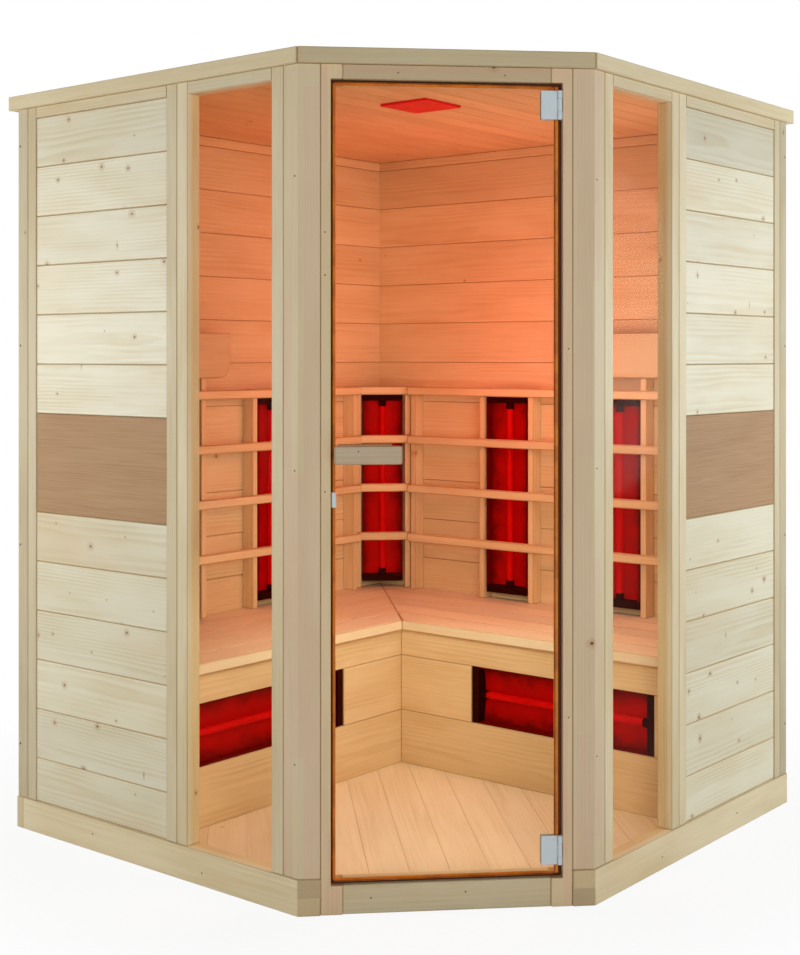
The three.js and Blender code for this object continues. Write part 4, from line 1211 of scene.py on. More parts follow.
@dataclass
class BackWall:
    """Plank wall at the back, with its bench and calf emitter."""

    side: Side
    bench_depth: float = 500.0
    seat_top: float = 471.0
    seat_thick: float = 30.0
    seat_nose: float = 15.0
    slats: int = 5
    slat_gap: float = 2.0
    front_thick: float = 18.0
    cleat_height: float = 40.0
    cleat_depth: float = 30.0
    floor_height: float = 60.0
    calf_length: float = 570.0
    calf_height: float = 155.0
    calf_start: float = 250.0
    calf_middle: float = 290.0
    calf_recess: float = 2.0
    place: Place = field(init=False)

    def __post_init__(self) -> None:
        """Takes the wall's place from its side."""
        self.place = CABIN.back_place(self.side)

    @property
    def bench_front(self) -> float:
        """Inward distance of the board under the seat."""
        return CABIN.wall + self.bench_depth - self.seat_nose

    def wall(self) -> None:
        """Planks in two layers with chamfered seams, pale outside and lit inside, with tongues between."""
        name = f"back_wall_{self.side.word}"
        near = 0.0 if self.side is Side.RIGHT else CABIN.wall + CABIN.fit
        piece = Piece(f"{name}_wood", self.place)
        edges = CABIN.plank_edges()
        edges[-1] = CABIN.rail_bottom
        edges = np.append(edges, CABIN.wall_top)
        middle = CABIN.wall / 2
        layers = (((0.0, middle - 0.1), PLANK_WOOD), ((middle + 0.1, CABIN.wall), INNER_WOOD))
        for depth, finish in layers:
            for low, high in zip(edges[:-1], edges[1:]):
                piece.add(plank_shell((near, CABIN.inner_end), depth, (low, high), 1.6, 0.5),
                          finish, Axis.ALONG, caps=PLANK_WOOD, spread=0.035)
        for seam in edges[1:-1]:
            for depth, finish in layers:
                piece.add(board((near + 2, CABIN.inner_end - 2), (depth[0] + 4, depth[1] - 4), (seam - 0.2, seam + 0.2),
                                Axis.ALONG, 0.1), finish, Axis.ALONG)
        piece.build(CABIN_BODY, INNER_WOOD, name)

    def mitred(self, near: float, far: float) -> Points:
        """Plan of a board that ends in the corner's mitre, between two distances from the wall."""
        slack = CABIN.fit * ROOT2
        return np.array([[near + slack, near], [CABIN.inner_end, near], [CABIN.inner_end, far], [far + slack, far]])

    def seat(self) -> None:
        """Slats of the seat, mitred in the corner, on a cleat along the wall."""
        name = f"bench_seat_{self.side.word}"
        piece = Piece(f"{name}_wood", self.place)
        low = CABIN.wall + CABIN.fit
        bottom = self.seat_top - self.seat_thick
        edges = CABIN.wall + self.bench_depth * np.arange(self.slats + 1) / self.slats
        edges[0] = low
        for near, far in zip(edges[:-1], edges[1:]):
            last = far == edges[-1]
            plan = self.mitred(near, far if last else far - self.slat_gap)
            piece.add(prism(plan, Axis.UP, bottom, self.seat_top, 5.0 if last else 2.5, 5.5 if last else 3.0),
                      BENCH_WOOD, Axis.ALONG)
        piece.add(board((self.bench_front, CABIN.inner_end - self.cleat_depth), (low, low + self.cleat_depth),
                        (bottom - self.cleat_height, bottom - 0.2), Axis.ALONG), BENCH_WOOD, Axis.ALONG)
        piece.build(CABIN_BODY, BENCH_WOOD, name)

    def front(self) -> None:
        """Boards under the seat, with an opening for the calf emitter."""
        name = f"bench_front_{self.side.word}"
        piece = Piece(f"{name}_wood", self.place)
        back = self.bench_front - self.front_thick
        gap = CABIN.fit
        start = self.bench_front + self.calf_start - gap
        end = start + self.calf_length + 2 * gap
        half = self.calf_height / 2 + gap
        floor, top = self.floor_height + gap, self.seat_top - self.seat_thick - gap
        plan = self.mitred(back, self.bench_front)
        levels = [floor, self.calf_middle - half, self.calf_middle + half, top]
        piece.add(prism(plan, Axis.UP, levels[0], levels[1] - 0.5), INNER_WOOD, Axis.ALONG)
        piece.add(prism(clip(plan, (1, 0), start), Axis.UP, levels[1], levels[2]), INNER_WOOD, Axis.ALONG)
        piece.add(prism(clip(plan, (-1, 0), -end), Axis.UP, levels[1], levels[2]), INNER_WOOD, Axis.ALONG)
        piece.add(prism(plan, Axis.UP, levels[2] + 0.5, levels[3]), INNER_WOOD, Axis.ALONG)
        piece.build(CABIN_BODY, INNER_WOOD, name)

    def calf_emitter(self) -> None:
        """Emitter that lies in the bench's front."""
        start = self.bench_front + self.calf_start
        corner = self.place.moved(start, self.bench_front - self.calf_recess - Emitter.depth, self.calf_middle)
        lying = Place(corner.origin, corner.up, corner.inward, corner.along)
        Emitter(f"emitter_calf_{self.side.word}", lying, self.calf_height, self.calf_length).build()

    def build(self) -> None:
        """Builds the wall and the bench."""
        self.wall()
        self.seat()
        self.front()
        self.calf_emitter()


@dataclass
class Emitter:
    """Infrared emitter: a tray with a bowed red reflector, black ends and a glowing rod; the reflector's glow,
    brightest in the middle, is painted light of the rod.
    """

    name: str
    place: Place
    width: float
    length: float
    depth: float = 40.0
    sheet: float = 3.0
    end: float = 22.0
    rod_radius: float = 9.0
    bow: float = 9.0
    # Painted glow of the rod on the reflector: its tone in the middle and its fall to the sides, and the tray's darker
    # tone as painted shade.
    middle_painted_glow: float = 1.4
    painted_glow_fall: float = 0.8
    tray_painted_shade: float = 0.5

    def reflector(self) -> Shell:
        """Thin bowed sheet: depth = sheet + bow * (x / half width) squared, carried along the emitter."""
        half = self.width / 2 - self.sheet - 0.4
        across = np.linspace(-half, half, 17)
        rise = self.sheet + 0.6 + self.bow * (across / half) ** 2
        front = np.stack([across, rise + 1.0], axis=1)
        back = np.stack([across[::-1], rise[::-1]], axis=1)
        return prism(np.concatenate([front, back]), Axis.UP, self.end + 0.2, self.length - self.end - 0.2, 0.2, 0.25)

    def build(self) -> None:
        """Builds tray, reflector, ends, rod and its sockets."""
        piece = Piece(f"{self.name}_unit", self.place)
        half = self.width / 2
        sheet, depth = self.sheet, self.depth
        tray = np.array([
            [-half, 0], [half, 0], [half, depth], [half - sheet, depth], [half - sheet, sheet],
            [-half + sheet, sheet], [-half + sheet, depth], [-half, depth]])
        # The tray's sides take the reflector's glow at a low tone: painted shade.
        piece.add(prism(tray, Axis.UP, self.end, self.length - self.end, 0.5), EMITTER_RED, tone=self.tray_painted_shade)
        for low, high in ((0.0, self.end - 0.2), (self.length - self.end + 0.2, self.length)):
            piece.add(board((-half, half), (0, depth), (low, high), Axis.ALONG, 1.5), EMITTER_CASE)
        sheet_shell = self.reflector()
        beside = sheet_shell.points[..., 0].ravel() / half
        # Painted light of the rod on the reflector: the tone falls from the middle to the sides.
        piece.add(sheet_shell, EMITTER_RED, tone=self.middle_painted_glow - self.painted_glow_fall * beside ** 2)
        middle = (0.0, depth / 2)
        piece.add(rod(middle, self.rod_radius, Axis.UP, self.end + 14, self.length - self.end - 14), EMITTER_ROD)
        for low in (self.end, self.length - self.end - 18):
            piece.add(tube(middle, self.rod_radius + 0.3, self.rod_radius + 3.5, low, low + 18), EMITTER_CASE)
        piece.build(CABIN_BODY, EMITTER_RED, self.name)


@dataclass
class Backrests:
    """Wall emitters and the slatted rests in front of them."""

    emitter_width: float = 150.0
    corner_width: float = 130.0
    emitter_low: float = 492.0
    emitter_high: float = 1100.0
    inner: float = 540.0
    outer: float = 930.0
    bar_height: float = 26.0
    bar_thick: float = 18.0
    bar_low: float = 640.0
    bar_pitch: float = 157.0
    bar_count: int = 4
    batten: float = 20.0
    batten_gap: float = 6.0
    stand_off: float = 3.0
    seat_top: float = 471.0
    from_corner: float = 165.0
    rest_end: float = 1085.0
    corner_half: float = 92.0
    head_width: float = 360.0
    head_low: float = 1160.0
    head_high: float = 1290.0
    head_round: float = 40.0

    @property
    def front(self) -> float:
        """Inward distance of the bars' back."""
        return CABIN.wall + Emitter.depth + 2 * CABIN.fit + self.stand_off

    @property
    def rest_top(self) -> float:
        """Top of the highest bar."""
        return self.bar_low + (self.bar_count - 1) * self.bar_pitch + self.bar_height / 2

    def bars(self, piece: Piece, along: Pair, near: float) -> None:
        """Cross bars with rounded edges, between two places, with their back at a depth."""
        for row in range(self.bar_count):
            middle = self.bar_low + row * self.bar_pitch
            piece.add(board(along, (near, near + self.bar_thick),
                            (middle - self.bar_height / 2, middle + self.bar_height / 2), Axis.ALONG, 3.0),
                      INNER_WOOD, Axis.ALONG)

    def wall_rest(self, side: Side) -> None:
        """Battens, bars and a headrest on one back wall, with that wall's two emitters."""
        place = CABIN.back_place(side)
        length = self.emitter_high - self.emitter_low
        wall = CABIN.wall
        for word, distance in (("inner", self.inner), ("outer", self.outer)):
            corner = place.moved(wall + distance, wall + CABIN.fit, self.emitter_low)
            Emitter(f"emitter_{side.word}_{word}", corner, self.emitter_width, length).build()
        name = f"backrest_{side.word}"
        piece = Piece(f"{name}_wood", place)
        start, end = wall + self.from_corner, wall + self.rest_end
        beside = self.emitter_width / 2 + self.batten_gap + self.batten / 2
        head = wall + self.outer
        head_top = self.head_high - self.head_round
        battens = [(start + self.batten / 2, self.rest_top), (wall + self.inner - beside, self.rest_top),
                   (wall + self.inner + beside, self.rest_top), (head - beside, head_top),
                   (head + beside, head_top)]
        for middle, top in battens:
            piece.add(board((middle - self.batten / 2, middle + self.batten / 2), (wall + CABIN.fit, self.front - 0.2),
                            (self.seat_top + CABIN.fit, top), Axis.UP, 2.0), INNER_WOOD, Axis.UP)
        self.bars(piece, (start, end), self.front)
        half = self.head_width / 2
        corners = np.array([[head - half, self.head_low], [head + half, self.head_low],
                            [head + half, self.head_high], [head - half, self.head_high]])
        radii = np.array([self.head_round, self.head_round, self.batten_gap, self.batten_gap])
        piece.add(prism(corners, Axis.INWARD, self.front, self.front + self.bar_thick, 4.0, radii),
                  INNER_WOOD, Axis.ALONG, tone=0.87, spread=0.0)
        piece.build(CABIN_BODY, INNER_WOOD, name)

    def corner_rest(self) -> None:
        """Emitter across the back corner, with its own bars."""
        place = CABIN.door_place()
        back = CABIN.inner_corner - self.corner_width / 2 - CABIN.fit * ROOT2
        facing = Place((0.0, back, self.emitter_low), (-1.0, 0.0, 0.0), (0.0, -1.0, 0.0))
        Emitter("emitter_corner", facing, self.corner_width, self.emitter_high - self.emitter_low).build()
        piece = Piece("backrest_corner_wood", place)
        bar_back = back - Emitter.depth - self.batten_gap
        inner = self.corner_width / 2 + self.batten_gap
        outer = inner + self.batten
        deep = CABIN.inner_corner - outer - CABIN.fit * ROOT2
        for side in Side:
            piece.add(board(tuple(sorted((side.value * inner, side.value * outer))), (bar_back + 0.2, deep),
                            (self.seat_top + CABIN.fit, self.rest_top), Axis.UP, 2.0), INNER_WOOD, Axis.UP)
        self.bars(piece, (-self.corner_half, self.corner_half), bar_back - self.bar_thick)
        piece.build(CABIN_BODY, INNER_WOOD, "backrest_corner")

    def build(self) -> None:
        """Builds the rests and their emitters."""
        for side in Side:
            self.wall_rest(side)
        self.corner_rest()


@dataclass
class Roof:
    """Ceiling boards, roof boards, fascia and the red lamp."""

    lip: float = 7.0
    back_lip: float = 33.0
    fascia_thick: float = 20.0
    ceiling_thick: float = 15.0
    cover_thick: float = 16.0
    cover_pitch: float = 116.0
    lamp_side: float = 150.0
    lamp_rim: float = 5.0
    lamp_drop: float = 6.0
    lamp_from_door: float = 514.0

    def lamp_place(self) -> Place:
        """Place of the lamp, turned in line with the walls."""
        return Place((0.0, self.lamp_from_door, 0.0), (HALF_ROOT, HALF_ROOT, 0.0), (-HALF_ROOT, HALF_ROOT, 0.0))

    def plan(self, place: Place) -> Points:
        """Plan inside the fascia, in another place."""
        corners = CABIN.five_sided(self.lip - self.fascia_thick - CABIN.fit, self.back_lip)
        offset = corners - np.array(place.origin)[:2]
        return offset @ place.axes[:2, :2].T

    def ceiling(self) -> None:
        """Boards in line with the right wall, cut round the lamp."""
        piece = Piece("ceiling_boards", self.lamp_place())
        plan = self.plan(piece.place)
        pitch = self.lamp_side / 2 - self.lamp_rim + CABIN.fit
        low, high = CABIN.roof_bottom, CABIN.roof_bottom + self.ceiling_thick
        first = int(plan[:, 1].min() // pitch)
        for row in range(first, int(plan[:, 1].max() // pitch) + 1):
            strip = clip(clip(plan, (0, -1), -row * pitch), (0, 1), (row + 1) * pitch - 0.6)
            parts = [clip(strip, (1, 0), -pitch), clip(strip, (-1, 0), -pitch)] if row in (-1, 0) else [strip]
            for part in parts:
                if np.ptp(part[:, 1]) > 8:
                    # The ceiling's orange is painted red light.
                    piece.add(prism(part, Axis.UP, low, high, 1.2), CEILING_RED_LIT_WOOD, Axis.ALONG)
        piece.build(CABIN_BODY, CEILING_RED_LIT_WOOD, "ceiling_panel")

    def cover(self) -> None:
        """Roof boards, side by side across the cabin."""
        piece = Piece("roof_boards", CABIN.door_place())
        plan = self.plan(piece.place)
        low = CABIN.roof_bottom + self.ceiling_thick + CABIN.fit
        first = int(plan[:, 1].min() // self.cover_pitch)
        for row in range(first, int(plan[:, 1].max() // self.cover_pitch) + 1):
            strip = clip(clip(plan, (0, -1), -row * self.cover_pitch), (0, 1), (row + 1) * self.cover_pitch - 0.8)
            if np.ptp(strip[:, 1]) > 8:
                piece.add(prism(strip, Axis.UP, low, low + self.cover_thick, 1.6), ROOF_WOOD, Axis.ALONG)
        piece.build(CABIN_BODY, ROOF_WOOD, "roof_cover")

    def fascia(self) -> None:
        """Three boards round the front of the roof, mitred at the front corners; the front one is darker and the side
        ones lighter, as painted shade and light.
        """
        outer = CABIN.five_sided(self.lip, self.back_lip)
        inner = CABIN.five_sided(self.lip - self.fascia_thick, self.back_lip)
        gap = np.array([CABIN.fit / 2, 0.0])
        low, high = CABIN.roof_bottom, CABIN.height
        front = Piece("fascia_front_wood", CABIN.door_place())
        plan = np.array([outer[4] + gap, outer[0] - gap, inner[0] - gap, inner[4] + gap])
        # Darker front board: painted shade.
        front.add(prism(plan, Axis.UP, low, high, 2.0, seams=0.5), ROOF_WOOD, Axis.ALONG, tone=0.88, spread=0.0)
        front.build(CABIN_BODY, ROOF_WOOD, "fascia_front")
        for side in Side:
            place = CABIN.side_place(side)
            flip = np.array([side.value, 1.0])
            corners = np.array([outer[0] + gap, outer[1], inner[1], inner[0] + gap]) * flip
            local = (corners - np.array(place.origin)[:2]) @ place.axes[:2, :2].T
            piece = Piece(f"fascia_{side.word}_wood", place)
            # Lighter side boards: painted light.
            piece.add(prism(local, Axis.UP, low, high, 2.0, seams=0.5), ROOF_WOOD, Axis.ALONG, tone=1.1, spread=0.0)
            piece.build(CABIN_BODY, ROOF_WOOD, f"fascia_{side.word}")

    def lamp(self) -> None:
        """Square red cover with a soft edge, and its box in the ceiling."""
        piece = Piece("ceiling_lamp_unit", self.lamp_place())
        half, body = self.lamp_side / 2, self.lamp_side / 2 - self.lamp_rim
        top = CABIN.roof_bottom - CABIN.fit
        square = np.array([[-1, -1], [1, -1], [1, 1], [-1, 1]])
        piece.add(prism(square * half, Axis.UP, top - self.lamp_drop, top, 2.4, 6.0), LAMP_RED)
        piece.add(prism(square * body, Axis.UP, top + 0.1, CABIN.roof_bottom + self.ceiling_thick - CABIN.fit, 1.0),
                  UNIT_BLACK)
        piece.build(CABIN_BODY, LAMP_RED, "ceiling_lamp")

    def build(self) -> None:
        """Builds the roof from the inside out."""
        self.ceiling()
        self.cover()
        self.fascia()
        self.lamp()


@dataclass
class ControlUnit:
    """Box on the inside of the right wall, with a smooth touch face and no marks."""

    width: float = 160.0
    height: float = 120.0
    depth: float = 28.0
    from_corner: float = 640.0
    middle: float = 1310.0
    rounding: float = 10.0
    wall_back: float = 35.0
    bezel: float = 12.0
    keys: int = 4

    def build(self) -> None:
        """Builds the case, the face and a row of keys."""
        piece = Piece("control_unit_box", CABIN.side_place(Side.RIGHT))
        back = self.wall_back + CABIN.fit
        front = back + self.depth
        square = np.array([[-1, -1], [1, -1], [1, 1], [-1, 1]])
        centre = np.array([self.from_corner, self.middle])
        outer = centre + square * np.array([self.width, self.height]) / 2
        piece.add(prism(outer, Axis.INWARD, back, front - 0.8, 3.0, self.rounding), UNIT_BLACK)
        face = centre + square * (np.array([self.width, self.height]) / 2 - self.bezel)
        piece.add(prism(face, Axis.INWARD, front - 1.2, front, 0.4, 6.0), UNIT_FACE)
        for key in np.linspace(-1, 1, self.keys) * (self.width / 2 - 3 * self.bezel):
            piece.add(rod((self.middle - self.height / 2 + self.bezel * 2, self.from_corner + key), 5.0, Axis.INWARD,
                          front - 0.6, front + 0.0, 0.8, 0.4), UNIT_BLACK)
        piece.build(CABIN_BODY, UNIT_BLACK, "control_unit")


@dataclass
class DoorWay:
    """Jambs, head, threshold and seal, and the sizes that the door takes from them."""

    jamb_width: float = 48.0
    jamb_face: float = 22.0
    rebate: float = 20.0
    stop: float = 11.0
    head_face: float = 32.7
    bottom: float = 64.0
    threshold_back: float = 3.0
    glass_front: float = 8.0
    glass_thick: float = 8.0
    lip_hinge: float = 17.0
    # Widths of the seal's black strip, painted shade of the gap, at the hinge and elsewhere.
    black_hinge: float = 7.0
    black: float = 5.0
    magnet_height: float = 25.0
    magnet_depth: float = 12.0
    catch_height: float = 908.0

    @property
    def outer(self) -> float:
        """Half width outside the jambs."""
        return CABIN.half_face - CABIN.post_front

    @property
    def half(self) -> float:
        """Half width of the opening."""
        return self.outer - self.jamb_face

    @property
    def inner(self) -> float:
        """Half width between the jambs' feet."""
        return self.outer - self.jamb_width

    @property
    def top(self) -> float:
        """Height of the opening's top."""
        return CABIN.wall_top - self.head_face

    @property
    def glass_back(self) -> float:
        """Inward distance of the glass's back."""
        return self.glass_front + self.glass_thick

    def jamb(self, side: Side) -> None:
        """Jamb in two layers: the front one is cut for the door, the back one is its stop."""
        name = f"door_jamb_{side.word}"
        piece = Piece(f"{name}_wood", CABIN.door_place())
        layers = [(0.0, 0.0, self.rebate - 0.1), (self.stop, self.rebate, CABIN.wall)]
        for step, near, far in layers:
            face = self.half - step
            outline = np.array([
                [self.inner, 0], [self.outer, 0], [self.outer, CABIN.wall_top], [self.inner, CABIN.wall_top],
                [self.inner, self.top - step], [face, self.top - step], [face, self.bottom + step],
                [self.inner, self.bottom + step]])
            piece.add(prism(outline * np.array([side.value, 1]), Axis.INWARD, near, far, 1.4), JAMB_WOOD, Axis.UP,
                      tone=1.08, spread=0.0)
        nails = (1495.0, 1401.0, 927.0) if side is Side.LEFT else (1240.0, 420.0)
        for height in nails:
            screw(piece, (side.value * (self.outer - 9.0), height), 0.0, 1.8)
        piece.build(CABIN_BODY, JAMB_WOOD, name)

    def crosspieces(self) -> None:
        """Head and threshold between the jambs, each in two layers."""
        ends = (-self.inner + CABIN.fit, self.inner - CABIN.fit)
        head = Piece("door_head_wood", CABIN.door_place())
        head.add(board(ends, (0, self.rebate - 0.1), (self.top, CABIN.wall_top), Axis.ALONG), JAMB_WOOD,
                 Axis.ALONG, tone=0.87)
        head.add(board(ends, (self.rebate, CABIN.wall), (self.top - self.stop, CABIN.wall_top), Axis.ALONG),
                 JAMB_WOOD, Axis.ALONG)
        screw(head, (-110.0, self.top + 16), 0.0, 1.8)
        screw(head, (128.0, self.top + 14), 0.0, 1.8)
        head.build(CABIN_BODY, JAMB_WOOD, "door_head")
        sill = Piece("door_threshold_wood", CABIN.door_place())
        sill.add(board(ends, (self.threshold_back, self.rebate - 0.1), (0, self.bottom), Axis.ALONG), FRAME_WOOD,
                 Axis.ALONG, tone=0.92)
        sill.add(board(ends, (self.rebate, CABIN.wall), (0, self.bottom + self.stop), Axis.ALONG), FRAME_WOOD,
                 Axis.ALONG)
        screw(sill, (-170.0, 34), self.threshold_back, 2.0)
        screw(sill, (40.0, 40), self.threshold_back, 2.0)
        sill.build(CABIN_BODY, FRAME_WOOD, "door_threshold")

    def ring(self, piece: Piece, outer: tuple[float, ...], inner: tuple[float, ...], finish: Finish) -> None:
        """Four mitred strips between two rectangles.

        Args:
            piece: Piece that they belong to.
            outer: Left, bottom, right and top of the outer rectangle.
            inner: The same of the inner one.
            finish: What they are made of.
        """
        def corners(sides: tuple[float, ...]) -> Points:
            """Corners of a rectangle from its sides."""
            left, low, right, high = sides
            return np.array([[left, low], [right, low], [right, high], [left, high]])

        out, inn = corners(outer), corners(inner)
        for i in range(4):
            j = (i + 1) % 4
            strip = np.array([out[i], out[j], inn[j], inn[i]])
            piece.add(prism(strip, Axis.INWARD, self.glass_back + CABIN.fit, self.rebate - CABIN.fit, 0.6, 0.7), finish)

    def seal(self) -> None:
        """Rubber seal behind the glass: black where the gap shows it, which is painted shade of the gap, and amber
        behind the glass's edge; both carry a painted glow of the red light inside.
        """
        piece = Piece("door_seal_strip", CABIN.door_place())
        slack = CABIN.fit
        outer = (-self.half + slack, self.bottom + slack, self.half - slack, self.top - slack)
        middle = (-self.half + self.black, self.bottom + self.black + 1, self.half - self.black_hinge,
                  self.top - self.black - 1)
        inner = (-self.half + self.stop, self.bottom + self.stop, self.half - self.lip_hinge, self.top - self.stop)
        self.ring(piece, outer, middle, SEAL_GAP_SHADE)
        self.ring(piece, middle, inner, SEAL_AMBER)
        piece.build(CABIN_BODY, SEAL_GAP_SHADE, "door_seal")

    def magnet(self) -> None:
        """Magnet let into the latch jamb."""
        piece = Piece("catch_magnet_block", CABIN.door_place())
        middle = self.glass_front + self.glass_thick / 2
        piece.add(board((-self.half - self.magnet_depth, -self.half - CABIN.fit),
                        (middle - self.magnet_depth / 2, middle + self.magnet_depth / 2),
                        (self.catch_height - self.magnet_height / 2, self.catch_height + self.magnet_height / 2),
                        Axis.UP, 0.8), MAGNET_GREY)
        piece.build(CABIN_BODY, MAGNET_GREY, "catch_magnet")

    def build(self) -> None:
        """Builds the frame of the door."""
        for side in Side:
            self.jamb(side)
        self.crosspieces()
        self.seal()
        self.magnet()


@dataclass
class Hinge:
    """Clamp hinge: leaf with two knuckles on the jamb, pin, and clamp with the middle knuckle."""

    name: str
    middle: float
    way: DoorWay
    height: float = 64.0
    barrel: float = 5.5
    barrel_gap: float = 1.0
    axis_depth: float = 2.0
    pin: float = 2.5
    bore: float = 2.55
    pin_stand: float = 1.0
    knuckle: float = 28.0
    knuckle_gap: float = 0.5
    clamp_width: float = 36.0
    plate: float = 5.0
    back_plate: float = 3.4
    web: float = 2.4
    leaf_thick: float = 2.0
    leaf_depth: float = 16.0

    @property
    def axis_x(self) -> float:
        """Place of the pin along the door."""
        return self.way.half - self.barrel_gap - self.barrel

    @property
    def clamp_edge(self) -> float:
        """Edge of the clamp beside the barrel."""
        return self.axis_x - self.barrel - CABIN.fit

    def leaf(self) -> None:
        """Plate on the jamb, with the upper and the lower knuckle and their bridges."""
        piece = Piece(f"{self.name}_leaf_metal", CABIN.door_place())
        low, high = self.middle - self.height / 2, self.middle + self.height / 2
        piece.add(board((self.way.half - self.leaf_thick, self.way.half), (self.axis_depth + self.barrel, self.leaf_depth),
                        (low, high), Axis.UP, 0.5), HINGE_METAL)
        reach = self.knuckle / 2 + self.knuckle_gap
        for start, end in ((low, self.middle - reach), (self.middle + reach, high)):
            piece.add(tube((self.axis_x, self.axis_depth), self.bore, self.barrel, start, end), HINGE_METAL)
            piece.add(board((self.axis_x + self.barrel * 0.86, self.way.half), (self.axis_depth, self.axis_depth + self.barrel),
                            (start, end), Axis.UP, 0.4), HINGE_METAL)
        piece.build(CABIN_BODY, HINGE_METAL, f"{self.name}_leaf")

    def pin_rod(self) -> None:
        """Pin with domed ends."""
        piece = Piece(f"{self.name}_pin_metal", CABIN.door_place())
        half = self.height / 2 + self.pin_stand
        piece.add(rod((self.axis_x, self.axis_depth), self.pin, Axis.UP, self.middle - half, self.middle + half, 1.2),
                  HINGE_METAL)
        piece.build(CABIN_BODY, HINGE_METAL, f"{self.name}_pin")

    def clamp(self) -> None:
        """Plates on both sides of the glass, the web round its edge, the middle knuckle and screws."""
        piece = Piece(f"{self.name}_clamp_metal", CABIN.door_place())
        low, high = self.middle - self.height / 2, self.middle + self.height / 2
        left, right = self.clamp_edge - self.clamp_width, self.clamp_edge
        front = self.way.glass_front - CABIN.fit
        back = self.way.glass_back + CABIN.fit
        corners = np.array([[left, low], [right, low], [right, high], [left, high]])
        piece.add(prism(corners, Axis.INWARD, front - self.plate, front, 1.0, 2.0), HINGE_METAL)
        piece.add(prism(corners, Axis.INWARD, back, back + self.back_plate, 0.8, 2.0), HINGE_METAL)
        piece.add(board((right - self.web, right), (front - 0.8, back + 0.8), (low + 1.5, high - 1.5), Axis.UP, 0.4),
                  HINGE_METAL)
        start, end = self.middle - self.knuckle / 2, self.middle + self.knuckle / 2
        piece.add(tube((self.axis_x, self.axis_depth), self.bore, self.barrel, start, end), HINGE_METAL)
        piece.add(board((right - 0.5, self.axis_x - self.barrel * 0.8), (self.axis_depth + 1, self.axis_depth + self.barrel),
                        (start, end), Axis.UP, 0.3), HINGE_METAL)
        for offset in (-self.height / 4, self.height / 4):
            piece.add(rod((self.middle + offset, (left + right) / 2), 4.2, Axis.INWARD, back + self.back_plate - 0.4,
                          back + self.back_plate + 1.4, 2.4, 1.2), HINGE_METAL)
        piece.build(DOOR_BODY, HINGE_METAL, f"{self.name}_clamp")

    def build(self) -> None:
        """Builds the hinge."""
        self.leaf()
        self.pin_rod()
        self.clamp()


